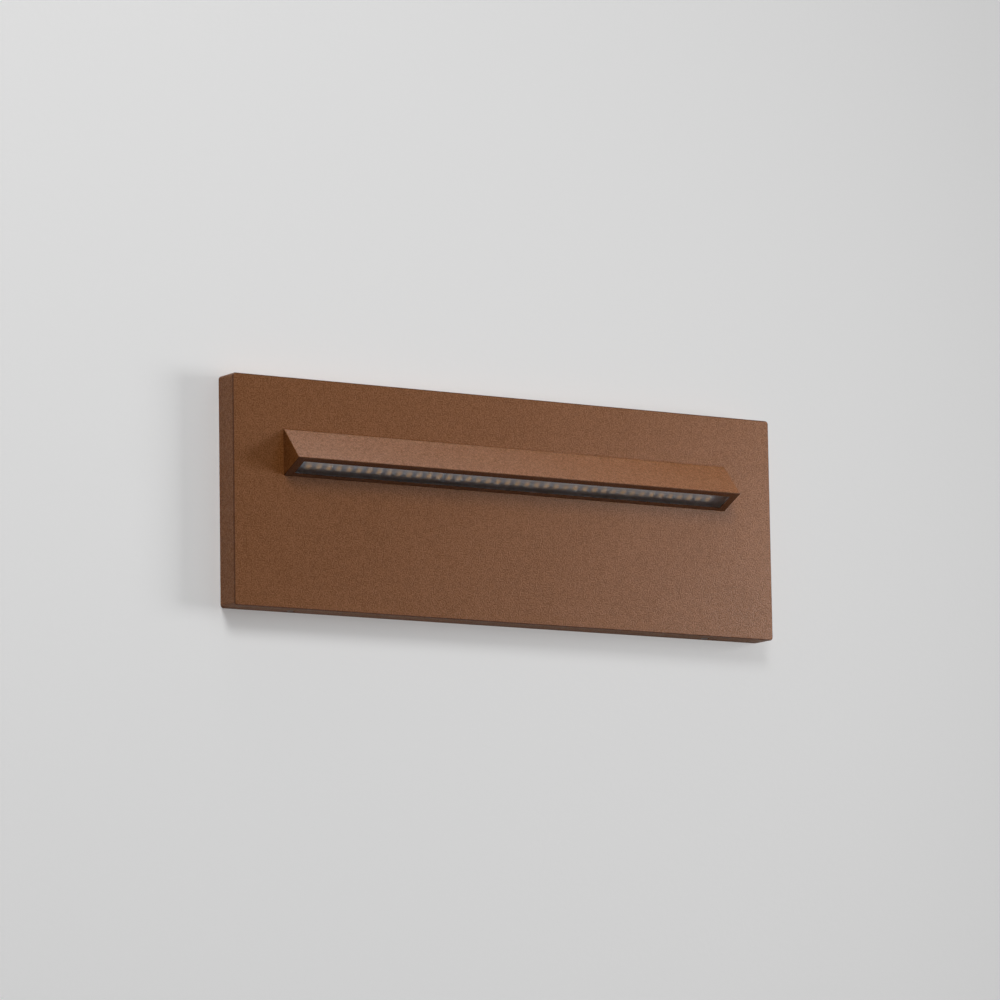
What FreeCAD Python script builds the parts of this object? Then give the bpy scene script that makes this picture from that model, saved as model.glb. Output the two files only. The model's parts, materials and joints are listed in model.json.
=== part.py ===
"""Recessed wall light with a hooded light slot, modelled as its separate pieces.

Frame: X to the right as seen from the room, Y into the wall, Z up, in millimetres.
The origin is the middle of the plate on the finished wall, so y = 0 is the wall's face.
Everything with y < 0 stands in the room and everything with y > 0 is buried in the wall.
"""

import FreeCAD, Part
import math
import os
from FreeCAD import Vector

X_AXIS = Vector(1, 0, 0)
Y_AXIS = Vector(0, 1, 0)
Z_AXIS = Vector(0, 0, 1)

# General clearances and cutting
overrun = 1.0
thread_gap = 0.05
cover_gap = 0.3

# Front plate: a shallow cast tray that hides the works
plate_width = 280.0
plate_height = 100.0
plate_depth = 12.0
plate_face = 2.5
plate_wall = 2.0
plate_corner = 1.5
plate_edge = 0.5
window_gap = 0.25

# Light hood: a triangular prism that stands out of the plate
hood_side_inset = 25.0
hood_height = 20.0
hood_reach = 12.6
hood_below_plate_top = 22.8
hood_apex_drop = 13.8
hood_land = 0.3
hood_wall = 1.2
hood_neck_wall = 2.0
hood_end_wall = 4.0
hood_edge = 0.35
hood_lip = 1.2
hood_flange_thickness = 3.2
hood_flange_rim = 9.0
hood_flange_end_rim = 4.5

# Opening in the hood's underside, measured back from the apex along the slope
slot_front = 3.0
slot_rear_rim = 2.0

# Diffuser, the raised land that fills the slot, and its seal
diffuser_thickness = 2.0
diffuser_recess = 0.15
diffuser_front = 2.35
diffuser_end_lap = 1.4
diffuser_rear_lap = 1.0
seal_thickness = 0.3
pocket_gap = 0.1

# Light board and its light-emitting diodes
board_width = 8.0
board_end_gap = 3.5
board_thickness = 1.6
board_front = 6.1
led_pitch = 5.08
led_end_margin = 3.3
led_width = 2.8
led_length = 3.5
led_height = 0.7
led_rim = 0.3
phosphor_depth = 0.35
phosphor_sink = 0.03
led_to_diffuser = 1.45
tape_thickness = 0.2

# Aluminium carrier that holds the light board and takes its heat
carrier_end_gap = 4.5
carrier_thickness = 2.0
carrier_wing_height = 11.0
carrier_screw_end = 7.0
carrier_screw_shares = (-1.0, -0.33, 0.33, 1.0)
carrier_screw_above_foot = 6.0

# Housing: flange behind the plate and a box for the driver
flange_thickness = 4.0
flange_corner = 1.2
housing_left_space = 49.0
housing_right_space = 27.0
housing_top_space = 9.0
housing_wall = 2.5
housing_depth = 42.0
housing_corner = 3.0
post_radius = 5.5
post_bite = 1.0
post_stand = 1.0
cover_thickness = 2.0
cover_gasket_width = 2.4
rib_thickness = 2.0
rib_height = 2.0

# Grub screws that hold the plate, in the plate's lower return
grub_side_inset = 32.0
grub_radius = 2.0
grub_length = 5.9
grub_flush = 0.1
grub_key = 2.0
grub_key_depth = 2.2
grub_pad_width = 9.0
grub_pad_height = 3.0
grub_pad_depth = 7.0
grub_tip_chamfer = 0.5
notch_side_gap = 1.5

# Fixing screws from the housing into the wall box
fixing_end_inset = 8.0
fixing_radius = 2.0
fixing_head_radius = 3.9
fixing_head_height = 2.2
fixing_length = 20.0
fixing_hole_gap = 0.2
fixing_head_way = 4.9

# Small machine screws, by thread radius, head radius and head height
m3_radius = 1.5
m3_head_radius = 2.8
m3_head_height = 2.0
cross_width = 0.8
cross_share = 0.62
cross_depth_share = 0.6
hood_screw_length = 6.3
hood_screw_head_height = 1.6
hood_screw_end_inset = 7.5
hood_screw_shares = (-1.0, -0.33, 0.33, 1.0)
hood_screw_inset = 4.0
blind_floor = 0.6
cover_screw_length = 12.0
carrier_screw_length = 5.2
driver_screw_length = 8.5

# Gasket between housing and hood
hood_gasket_width = 2.2
hood_gasket_depth = 1.6
hood_gasket_offset = 1.5

# Wall gasket and wall box
wall_gasket_thickness = 2.5
box_side_lap = 7.0
box_top_lap = 8.0
box_depth = 64.0
box_wall = 2.5
box_corner = 4.0
wall_gasket_inner_lap = 2.5
tower_radius = 5.3
tower_depth = 24.0
tower_web = 6.0
insert_radius = 3.2
insert_length = 11.5
insert_sink = 1.0
insert_waist = 0.4
insert_band_share = 0.36
tower_bore_radius = 2.4
tower_bore_floor = 2.0
box_rib_height = 2.0
box_rib_width = 1.6
box_rib_count = 7
box_rib_end_inset = 25.0
box_rib_start = 6.0
box_rib_end_gap = 4.0
lug_width = 14.0
lug_reach = 4.5
lug_thickness = 2.5
lug_hole_radius = 1.2
lug_set_back = 11.5
lug_z = 24.0
knockout_radius = 10.2
knockout_groove = 1.2
knockout_web = 0.9
knockout_rib_share = 1.5
knockout_set_back = 37.5
back_hole_radius = 2.5
back_hole_end_inset = 33.0
back_hole_top_inset = 16.0
drain_radius = 2.2
drain_rib_share = 2.5
drain_set_back = 10.0

# Conduit adaptors pressed in the ends of the wall box, set at two heights so that the cables pass
conduit_radius = 10.15
conduit_wall = 2.05
conduit_depth = 10.0
conduit_mouth_gap = 0.5
conduit_mouth_depth = 3.0
conduit_stop = 2.0
conduit_stop_radius = 8.6
conduit_stagger = 13.0
adaptor_flange_rim = 1.6
adaptor_flange_thickness = 2.0
adaptor_floor_gap = 0.5
membrane_rim = 10.6
membrane_thickness = 1.2
membrane_collar = 1.2

# Supply terminal in the wall box, with one lever for each conductor
terminal_end_inset = 32.0
terminal_length = 22.0
terminal_height = 14.0
pole_pitch = 8.0
pole_count = 3
terminal_end_wall = 0.5
lever_slot_width = 6.0
lever_slot_depth = 4.4
lever_width = 5.6
lever_thickness = 2.4
lever_sink = 0.6
lever_barrel = 2.0
lever_pivot_x = 4.4
lever_pivot_depth = 2.2
lever_tip = 1.6
lever_grip = 0.5
lever_grip_count = 3
trunnion_radius = 1.0
trunnion_length = 0.7
trunnion_gap = 0.05
tunnel_width = 5.0
tunnel_height = 4.4
tunnel_floor = 2.6
contact_length = 16.0
contact_thickness = 1.2
contact_width = 4.6
ear_reach = 7.0
ear_thickness = 3.0
ear_screw_radius = 1.4
ear_screw_head = 2.6
ear_screw_head_height = 1.8
ear_screw_bite = 2.0

# Driver: closed plastic case with its board and main parts
driver_right_space = 41.0
driver_length = 80.0
driver_width = 38.0
driver_height = 22.0
driver_wall = 1.6
driver_floor = 2.0
driver_lid_thickness = 2.0
driver_stand = 1.6
driver_ear = 9.0
driver_ear_width = 10.0
driver_ear_thickness = 3.0
driver_board_stand = 3.0
driver_board_thickness = 1.6
driver_board_gap = 0.4
component_gap = 1.5
transformer_length = 18.0
transformer_width = 22.0
transformer_height = 12.0
transformer_tape = 1.8
choke_radius = 5.5
choke_bore = 2.2
choke_height = 7.0
choke_edge = 0.73
capacitor_radius = 4.0
capacitor_height = 11.0
capacitor_edge_gap = 1.0
capacitor_rim = 0.8
driver_terminal_length = 8.0
driver_terminal_width = 12.0
driver_terminal_height = 8.0
driver_terminal_inset = 3.0
driver_boss_radius = 4.0

# Leads from the driver to the light board
bend_share = 0.45
lead_radius = 0.8
lead_spacing = 3.2
lead_hole_gap = 0.3
lead_z = 4.0
lead_bite = 4.0
lead_clear = 0.05
lead_bundle = 2.2
lead_first_run = 14.0
lead_bend_above_flange = 12.0
lead_land_share = 0.55
grommet_bore = 2.6
grommet_wall = 1.6
grommet_lip = 1.2
grommet_lip_height = 1.0
grommet_above_floor = 0.2
grommet_post_gap = 0.6

# Earth point inside the housing
earth_end_inset = 16.0
earth_boss_radius = 4.6
earth_boss_height = 5.0
earth_screw_radius = 2.0
earth_screw_length = 7.0
earth_washer_radius = 4.2
earth_washer_thickness = 0.8
earth_head_radius = 3.6
earth_head_height = 2.4

# Cable gland in the housing's left end
gland_above_flange = 22.0
gland_shank_radius = 8.0
gland_flats = 20.0
gland_flange = 4.0
gland_bore = 5.2
gland_collar_radius = 7.6
gland_collar_length = 7.0
gland_nut_length = 11.0
gland_nut_start = 0.6
gland_nut_flats = 19.0
gland_nut_mouth = 5.0
gland_dome = 2.5
gland_seal_bore = 3.6
gland_seal_length = 8.0
gland_seal_wall_gap = 0.1
gland_washer_thickness = 1.0
gland_washer_rim = 1.4
gland_locknut_thickness = 4.0
gland_shank_past_nut = 1.5

# Pressure vent in the housing's lower wall
vent_end_inset = 46.0
vent_above_flange = 22.0
vent_shank_radius = 3.9
vent_head_radius = 6.5
vent_head_height = 3.0
vent_bore = 1.6
vent_slot = 1.2
vent_rim = 0.75
vent_seal_thickness = 0.6
vent_inner_reach = 3.0
vent_clip_width = 0.8
vent_clip_height = 1.2

# Planes and corners of the plate, the hood and the flange behind them
plate_front_y = -plate_depth
plate_inner_y = plate_front_y + plate_face
hood_flange_y = plate_inner_y + cover_gap
flange_front_y = hood_flange_y + hood_flange_thickness
flange_back_y = flange_front_y + flange_thickness
flange_middle_y = (flange_front_y + flange_back_y) / 2
flange_width = plate_width - 2 * (plate_wall + cover_gap)
flange_height = plate_height - 2 * (plate_wall + cover_gap)
hood_length = plate_width - 2 * hood_side_inset
hood_half = hood_length / 2
hood_top_z = plate_height / 2 - hood_below_plate_top
hood_bottom_z = hood_top_z - hood_height
apex_y = plate_front_y - hood_reach
apex_z = hood_top_z - hood_apex_drop
chamber_half = hood_half - hood_end_wall
chamber_top_z = hood_top_z - hood_neck_wall
chamber_floor_z = hood_bottom_z + hood_neck_wall

# The hood's sloping underside and what lies behind it
slope_length = math.hypot(hood_reach, apex_z - hood_bottom_z)
slope_along = Vector(0, hood_reach, hood_bottom_z - apex_z) * (1 / slope_length)
slope_inward = Vector(0, -slope_along.z, slope_along.y)
slot_rear = slope_length - slot_rear_rim
diffuser_rear = slot_rear + diffuser_rear_lap
diffuser_bottom = hood_lip + seal_thickness
diffuser_top = diffuser_bottom + diffuser_thickness
led_face = diffuser_top + led_to_diffuser
board_face = led_face + led_height
board_back = board_face + board_thickness
board_rear = board_front + board_width
board_length = 2 * (chamber_half - board_end_gap)
led_count = round((board_length - 2 * led_end_margin) / led_pitch) + 1
carrier_face = board_back + tape_thickness
carrier_back = carrier_face + carrier_thickness

# The wall box
box_width = plate_width - 2 * box_side_lap
box_height = plate_height - 2 * box_top_lap
box_half = box_width / 2
box_rim_y = flange_back_y + wall_gasket_thickness
box_back_y = box_rim_y + box_depth
box_floor_y = box_back_y - box_wall
box_rib_spacing = (box_width - 2 * box_rib_end_inset) / (box_rib_count - 1)
fixing_x = box_half - fixing_end_inset
adaptor_radius = conduit_radius + conduit_wall
adaptor_flange_radius = adaptor_radius + adaptor_flange_rim
conduit_y = box_floor_y - adaptor_flange_radius - adaptor_floor_gap
conduit_mouth_x = box_half - conduit_mouth_depth
conduit_stop_x = conduit_mouth_x - conduit_depth
conduit_inner_x = conduit_stop_x - conduit_stop
back_hole_x = box_half - back_hole_end_inset
back_hole_z = box_height / 2 - back_hole_top_inset
terminal_x = terminal_end_inset - box_half
terminal_front_y = box_floor_y - terminal_height
terminal_left = terminal_x - terminal_length / 2
terminal_half_z = pole_count * pole_pitch / 2 + terminal_end_wall
pole_zs = [pole_pitch * (i - (pole_count - 1) / 2) for i in range(pole_count)]

# The housing's box, its lid and its screw posts
housing_left = housing_left_space - box_half
housing_right = box_half - housing_right_space
housing_width = housing_right - housing_left
housing_middle_x = (housing_right + housing_left) / 2
housing_height = box_height - 2 * housing_top_space
housing_back = flange_back_y + housing_depth
cover_y = housing_back + post_stand
cover_back_y = cover_y + cover_thickness
post_inset = housing_wall + post_radius - post_bite
post_xs = (housing_left + post_inset, housing_right - post_inset)
post_z = housing_height / 2 - post_inset

# The driver, its leads and the way they go through the flange
driver_right = housing_right - driver_right_space
driver_left = driver_right - driver_length
driver_y = flange_back_y + driver_stand
driver_board_y = driver_y + driver_floor + driver_board_stand
driver_parts_y = driver_board_y + driver_board_thickness
supply_end_x = driver_left + driver_terminal_inset + driver_terminal_length
output_end_x = driver_right - driver_terminal_inset - driver_terminal_length
choke_x = supply_end_x + component_gap + choke_radius
capacitor_x = output_end_x - component_gap - capacitor_radius
transformer_x = (choke_x + choke_radius + capacitor_x - capacitor_radius) / 2
board_half_z = driver_width / 2 - driver_wall - driver_board_gap
capacitor_pitch = board_half_z - capacitor_radius - capacitor_edge_gap
lead_y = driver_parts_y + driver_terminal_height / 2
grommet_seat = grommet_bore + grommet_wall
wire_hole_x = housing_right - post_inset - post_radius - grommet_seat - grommet_lip - grommet_post_gap
wire_hole_z = chamber_floor_z + grommet_seat + grommet_above_floor
carrier_half = wire_hole_x - carrier_end_gap
carrier_wing_y = flange_front_y - carrier_thickness

# The gland, the vent, the earth point and the grub screws
gland_y = flange_back_y + gland_above_flange
gland_washer_x = housing_left - gland_washer_thickness
gland_flange_x = gland_washer_x - gland_flange
vent_x = housing_right - vent_end_inset
vent_y = flange_back_y + vent_above_flange
earth_x = housing_left + earth_end_inset
earth_boss_y = flange_back_y + earth_boss_height
grub_x = plate_width / 2 - grub_side_inset
grub_y = flange_middle_y
grub_bottom_z = -plate_height / 2 + grub_flush
grub_top_z = grub_bottom_z + grub_length


def block(x0, x1, y0, y1, z0, z1):
    """A plain box between two corners."""
    corner = Vector(min(x0, x1), min(y0, y1), min(z0, z1))
    return Part.makeBox(abs(x1 - x0), abs(y1 - y0), abs(z1 - z0), corner)


def rod_x(radius, y, z, x0, x1):
    """A round bar along X."""
    return Part.makeCylinder(radius, abs(x1 - x0), Vector(min(x0, x1), y, z), X_AXIS)


def rod_y(radius, x, z, y0, y1):
    """A round bar along Y."""
    return Part.makeCylinder(radius, abs(y1 - y0), Vector(x, min(y0, y1), z), Y_AXIS)


def rod_z(radius, x, y, z0, z1):
    """A round bar along Z."""
    return Part.makeCylinder(radius, abs(z1 - z0), Vector(x, y, min(z0, z1)), Z_AXIS)


def slab(width, height, y0, y1, corner, x=0.0, z=0.0):
    """A rectangle in the wall's plane with rounded corners, with its thickness along Y."""
    body = block(x - width / 2, x + width / 2, y0, y1, z - height / 2, z + height / 2)
    upright = [e for e in body.Edges if abs(e.tangentAt(e.FirstParameter).y) > cross_share]
    return body.makeFillet(corner, upright)


def prism(points, x0, x1):
    """A closed outline of (y, z) points, run along X."""
    corners = [Vector(x0, y, z) for y, z in points]
    face = Part.Face(Part.makePolygon(corners + corners[:1]))
    return face.extrude(X_AXIS * (x1 - x0))


def hexagon_x(flats, y, z, x0, x1):
    """A hexagonal bar along X, a flat facing up."""
    radius = flats / math.sqrt(3)
    sides = 6
    turns = [2 * math.pi * i / sides for i in range(sides)]
    return prism([(y + radius * math.cos(t), z + radius * math.sin(t)) for t in turns], x0, x1)


def slope_yz(along, inward):
    """The (y, z) of a point by its distance back along the hood's underside and into it."""
    p = Vector(0, apex_y, apex_z) + slope_along * along + slope_inward * inward
    return (p.y, p.z)


def slope_block(x0, x1, along0, along1, inward0, inward1):
    """A box that lies parallel to the hood's underside."""
    ends = [(along0, inward0), (along1, inward0), (along1, inward1), (along0, inward1)]
    return prism([slope_yz(a, i) for a, i in ends], x0, x1)


def join(shapes):
    """One solid from several that overlap or touch."""
    return shapes[0].multiFuse(shapes[1:]).removeSplitter()


def group(shapes):
    """Several separate solids that share one node."""
    return Part.makeCompound(shapes)


def cross_recess(head_radius, head_height, top_y):
    """The cross-shaped driver recess in a screw head whose top faces -Y."""
    reach = head_radius * cross_share
    floor_y = top_y + head_height * cross_depth_share
    half = cross_width / 2
    wide = block(-reach, reach, top_y - overrun, floor_y, -half, half)
    tall = block(-half, half, top_y - overrun, floor_y, -reach, reach)
    return wide.fuse(tall)


def pan_screw(radius, length, head_radius, head_height):
    """A cross-head screw along +Y: the head's seat is at y = 0 and the shank runs to +Y."""
    head = rod_y(head_radius, 0, 0, -head_height, 0)
    rim = [e for e in head.Edges if abs(e.CenterOfMass.y + head_height) < thread_gap]
    head = head.makeFillet(head_height / 2, rim)
    screw = head.fuse(rod_y(radius, 0, 0, -head_height / 2, length))
    return screw.cut(cross_recess(head_radius, head_height, -head_height)).removeSplitter()


def sunk_screw(radius, length, head_radius, head_height):
    """A countersunk screw along +Y: the flat head's top is at y = 0."""
    cone = Part.makeCone(head_radius, radius, head_height, Vector(0, 0, 0), Y_AXIS)
    screw = cone.fuse(rod_y(radius, 0, 0, head_height / 2, length))
    return screw.cut(cross_recess(head_radius, head_height, 0)).removeSplitter()


def sink(radius, head_radius, head_height, x, z, top_y):
    """The cone that seats a countersunk head, opened by the running gap."""
    gap = thread_gap
    seat = Part.makeCone(head_radius + gap, radius + gap, head_height, Vector(x, top_y, z), Y_AXIS)
    return seat.fuse(rod_y(head_radius + gap, x, z, top_y - overrun, top_y))


def placed(shape, x, y, z, faces_room=True):
    """A copy moved to a point, turned end for end where it is driven from behind."""
    copy = shape.copy()
    if not faces_room:
        copy.rotate(Vector(0, 0, 0), Z_AXIS, 180)
    copy.translate(Vector(x, y, z))
    return copy


def hood_screw_places():
    """(x, z) of the screws round the hood's flange."""
    high = hood_top_z + hood_flange_rim - hood_screw_inset
    low = hood_bottom_z - hood_flange_rim + hood_screw_inset
    reach = hood_half + hood_flange_end_rim - hood_screw_end_inset
    return [(reach * share, z) for z in (low, high) for share in hood_screw_shares]


def carrier_screw_places():
    """(x, z) of the screws in the carrier's upright wing."""
    z = slope_yz(board_rear, carrier_face)[1] + carrier_screw_above_foot
    reach = carrier_half - carrier_screw_end
    return [(reach * share, z) for share in carrier_screw_shares]


def driver_ear_places():
    """(x, z) of the driver's two fixing ears, at opposite corners."""
    z = driver_width / 2 - driver_ear_width / 2
    return [(driver_left - driver_ear / 2, -z), (driver_right + driver_ear / 2, z)]


def terminal_ear_places():
    """(x, z) of the two screws that hold the supply terminal."""
    z = terminal_half_z + ear_reach / 2
    return [(terminal_x, -z), (terminal_x, z)]


def front_plate():
    """Cast tray with a window for the hood and two threaded pads in its lower return."""
    body = slab(plate_width, plate_height, plate_front_y, 0, plate_corner)
    rim = [e for e in body.Edges if abs(e.CenterOfMass.y - plate_front_y) < thread_gap]
    body = body.makeFillet(plate_edge, rim)
    inner_width = plate_width - 2 * plate_wall
    inner_height = plate_height - 2 * plate_wall
    inner_corner = plate_corner / 2
    body = body.cut(slab(inner_width, inner_height, plate_inner_y, overrun, inner_corner))
    pads = []
    for side in (-1, 1):
        x = side * grub_x
        half = grub_pad_width / 2
        low = -inner_height / 2 - plate_wall / 2
        high = -inner_height / 2 + grub_pad_height
        near, far = grub_y - grub_pad_depth / 2, grub_y + grub_pad_depth / 2
        pads.append(block(x - half, x + half, near, far, low, high))
    body = join([body] + pads)
    half = hood_half + window_gap
    low, high = hood_bottom_z - window_gap, hood_top_z + window_gap
    body = body.cut(block(-half, half, plate_front_y - overrun, plate_inner_y + overrun, low, high))
    for side in (-1, 1):
        bottom = -plate_height / 2 - overrun
        top = -inner_height / 2 + grub_pad_height + overrun
        body = body.cut(rod_z(grub_radius + thread_gap, side * grub_x, grub_y, bottom, top))
    return body


def grub_screw(side):
    """Headless screw with a hexagonal key socket, driven up from under the plate."""
    x = side * grub_x
    body = rod_z(grub_radius, x, grub_y, grub_bottom_z, grub_top_z)
    tip = [e for e in body.Edges if len(e.Vertexes) == 1 and e.CenterOfMass.z > grub_top_z - thread_gap]
    body = body.makeChamfer(grub_tip_chamfer, tip)
    socket = hexagon_x(grub_key, 0, 0, 0, grub_key_depth + overrun)
    socket.rotate(Vector(0, 0, 0), Y_AXIS, -90)
    socket.translate(Vector(x, grub_y, grub_bottom_z - overrun))
    return body.cut(socket)


def light_hood():
    """Cast prism with a hollow chamber, a slot in its underside and a flange behind the plate."""
    outline = [
        (hood_flange_y + overrun, hood_top_z),
        (plate_front_y - hood_land, hood_top_z),
        (apex_y, apex_z),
        (plate_front_y, hood_bottom_z),
        (hood_flange_y + overrun, hood_bottom_z),
    ]
    body = prism(outline, -hood_half, hood_half)
    sharp = [e for e in body.Edges if e.CenterOfMass.y < plate_front_y and in_the_room(e)]
    body = body.makeFillet(hood_edge, sharp)
    flange_half = hood_half + hood_flange_end_rim
    flange = block(
        -flange_half, flange_half, hood_flange_y, flange_front_y,
        hood_bottom_z - hood_flange_rim, hood_top_z + hood_flange_rim)
    body = join([body, flange])
    return cut_hood(body)


def in_the_room(edge):
    """True for an edge of the prism that lies wholly in front of the plate."""
    return all(v.Point.y < plate_front_y + thread_gap for v in edge.Vertexes)


def upper_wall_inside(along):
    """How far into the prism the chamber's sloping ceiling lies at a distance along the underside."""
    rise = Vector(0, hood_reach - hood_land, hood_apex_drop)
    rise.normalize()
    sine = rise.dot(slope_inward)
    cosine = rise.dot(slope_along)
    return (along * sine - hood_wall) / cosine


def cut_hood(body):
    """Takes out the chamber, the diffuser's pocket, the slot, the gasket groove and the screw holes."""
    front = diffuser_front - pocket_gap
    ceiling = Vector(0, hood_reach - hood_land, hood_apex_drop)
    start = slope_yz(front, upper_wall_inside(front))
    run = (chamber_top_z - start[1]) / ceiling.z
    rear = slope_yz(diffuser_rear, diffuser_top)
    chamber = [
        start,
        (start[0] + ceiling.y * run, chamber_top_z),
        (flange_front_y + overrun, chamber_top_z),
        (flange_front_y + overrun, chamber_floor_z),
        (rear[0], chamber_floor_z),
        rear,
        slope_yz(front, diffuser_bottom),
    ]
    body = body.cut(prism(chamber, -chamber_half, chamber_half))
    pocket_half = chamber_half + diffuser_end_lap + pocket_gap
    pocket = slope_block(
        -pocket_half, pocket_half, front, diffuser_rear + pocket_gap, hood_lip, diffuser_top)
    body = body.cut(pocket)
    slot = slope_block(-chamber_half, chamber_half, slot_front, slot_rear, -overrun, hood_lip + thread_gap)
    body = body.cut(slot)
    body = body.cut(hood_gasket_ring(hood_gasket_depth, overrun))
    for x, z in hood_screw_places():
        body = body.cut(rod_y(m3_radius + thread_gap, x, z, hood_flange_y, flange_front_y + overrun))
        body = body.cut(sink(m3_radius, m3_head_radius, hood_screw_head_height, x, z, hood_flange_y))
    return body


def hood_gasket_ring(depth, past=0.0):
    """The rectangular ring round the chamber's open back."""
    inner_half = chamber_half + hood_gasket_offset
    outer_half = inner_half + hood_gasket_width
    low, high = chamber_floor_z - hood_gasket_offset, chamber_top_z + hood_gasket_offset
    y0, y1 = flange_front_y - depth, flange_front_y + past
    outer = block(-outer_half, outer_half, y0, y1, low - hood_gasket_width, high + hood_gasket_width)
    return outer.cut(block(-inner_half, inner_half, y0 - overrun, y1 + overrun, low, high))


def hood_gasket():
    """Silicone ring pressed in the groove of the hood's flange."""
    return hood_gasket_ring(hood_gasket_depth - thread_gap)


def hood_screws():
    """Countersunk screws that hold the hood's flange to the housing."""
    screw = sunk_screw(m3_radius, hood_screw_length, m3_head_radius, hood_screw_head_height)
    return group([placed(screw, x, hood_flange_y, z) for x, z in hood_screw_places()])


def diffuser():
    """Frosted strip that closes the slot from inside, with a raised land that fills the slot."""
    half = chamber_half + diffuser_end_lap
    pane = slope_block(-half, half, diffuser_front, diffuser_rear, diffuser_bottom, diffuser_top)
    land_half = chamber_half - pocket_gap
    front, rear = slot_front + pocket_gap, slot_rear - pocket_gap
    land = slope_block(-land_half, land_half, front, rear, diffuser_recess, diffuser_bottom)
    return join([pane, land])


def diffuser_seal():
    """Silicone bead between the slot's lip and the diffuser."""
    half = chamber_half + diffuser_end_lap
    outer = slope_block(-half, half, diffuser_front, diffuser_rear, hood_lip, diffuser_bottom)
    inner = slope_block(
        -chamber_half, chamber_half, slot_front, slot_rear, hood_lip - overrun, diffuser_bottom + overrun)
    return outer.cut(inner)


def led_board():
    """White aluminium-core strip that carries the diodes."""
    half = board_length / 2
    return slope_block(-half, half, board_front, board_rear, board_face, board_back)


def led_xs():
    """Places of the diodes along the board."""
    return [led_pitch * (i - (led_count - 1) / 2) for i in range(led_count)]


def led_cup(x, sink_depth, lift):
    """The phosphor-filled cup in the middle of a diode."""
    middle = board_front + board_width / 2
    half_x = led_width / 2 - led_rim
    half_along = led_length / 2 - led_rim
    top = led_face + sink_depth
    return slope_block(
        x - half_x, x + half_x, middle - half_along, middle + half_along,
        top - lift, led_face + phosphor_depth)


def led_packages():
    """White bodies of the diodes, each with an open cup."""
    middle = board_front + board_width / 2
    bodies = []
    for x in led_xs():
        body = slope_block(
            x - led_width / 2, x + led_width / 2,
            middle - led_length / 2, middle + led_length / 2, led_face, board_face)
        bodies.append(body.cut(led_cup(x, 0, overrun)))
    return group(bodies)


def led_phosphors():
    """Yellow phosphor that fills the cups."""
    return group([led_cup(x, phosphor_sink, 0) for x in led_xs()])


def thermal_tape():
    """Heat-conducting tape between the board and its carrier."""
    return slope_block(-carrier_half, carrier_half, board_front, board_rear, board_back, carrier_face)


def board_carrier():
    """Bent aluminium strip: a sloping shelf behind the board and a wing screwed to the housing."""
    lower, upper = slope_yz(board_front, carrier_face), slope_yz(board_front, carrier_back)
    fall = slope_along.z / slope_along.y
    foot_z = lower[1] + (carrier_wing_y - lower[0]) * fall
    bend_z = upper[1] + (carrier_wing_y - upper[0]) * fall
    top_z = foot_z + carrier_wing_height
    outline = [
        lower,
        (carrier_wing_y, foot_z),
        (flange_front_y, foot_z),
        (flange_front_y, top_z),
        (carrier_wing_y, top_z),
        (carrier_wing_y, bend_z),
        upper,
    ]
    body = prism(outline, -carrier_half, carrier_half)
    for x, z in carrier_screw_places():
        body = body.cut(rod_y(
            m3_radius + thread_gap, x, z, carrier_wing_y - overrun, flange_front_y + overrun))
    return body


def carrier_screws():
    """Pan-head screws that clamp the carrier to the housing."""
    screw = pan_screw(m3_radius, carrier_screw_length, m3_head_radius, m3_head_height)
    return group([placed(screw, x, carrier_wing_y, z) for x, z in carrier_screw_places()])


def flange_blank():
    """The housing's flange with the notches that clear the plate's screw pads."""
    body = slab(flange_width, flange_height, flange_front_y, flange_back_y, flange_corner)
    for side in (-1, 1):
        half = grub_pad_width / 2 + notch_side_gap
        low = -flange_height / 2 - overrun
        top = grub_top_z + thread_gap
        x = side * grub_x
        body = body.cut(block(
            x - half, x + half, flange_front_y - overrun, flange_back_y + overrun, low, top))
    return body


def driver_box_blank():
    """The housing's box with its screw posts, bosses and stiffening ribs."""
    z_half = housing_height / 2
    outer = slab(housing_width, housing_height, flange_back_y - flange_thickness / 2, housing_back,
                 housing_corner, housing_middle_x)
    inner_width = housing_width - 2 * housing_wall
    inner_height = housing_height - 2 * housing_wall
    inner = slab(inner_width, inner_height, flange_back_y, housing_back + overrun,
                 housing_corner / 2, housing_middle_x)
    pieces = [outer.cut(inner)]
    for x in post_xs:
        for side in (-1, 1):
            post = rod_y(post_radius, x, side * post_z, flange_back_y - overrun, cover_y)
            pieces.append(post)
    for x, z in driver_ear_places():
        pieces.append(rod_y(driver_boss_radius, x, z, flange_back_y - overrun, driver_y))
    pieces.append(rod_y(earth_boss_radius, earth_x, 0, flange_back_y - overrun, earth_boss_y))
    rib_z = z_half + rib_height
    for x in post_xs:
        half = rib_thickness / 2
        for side in (-1, 1):
            near, far = side * (z_half - housing_wall / 2), side * rib_z
            pieces.append(block(x - half, x + half, flange_back_y, housing_back, near, far))
    return pieces


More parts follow.
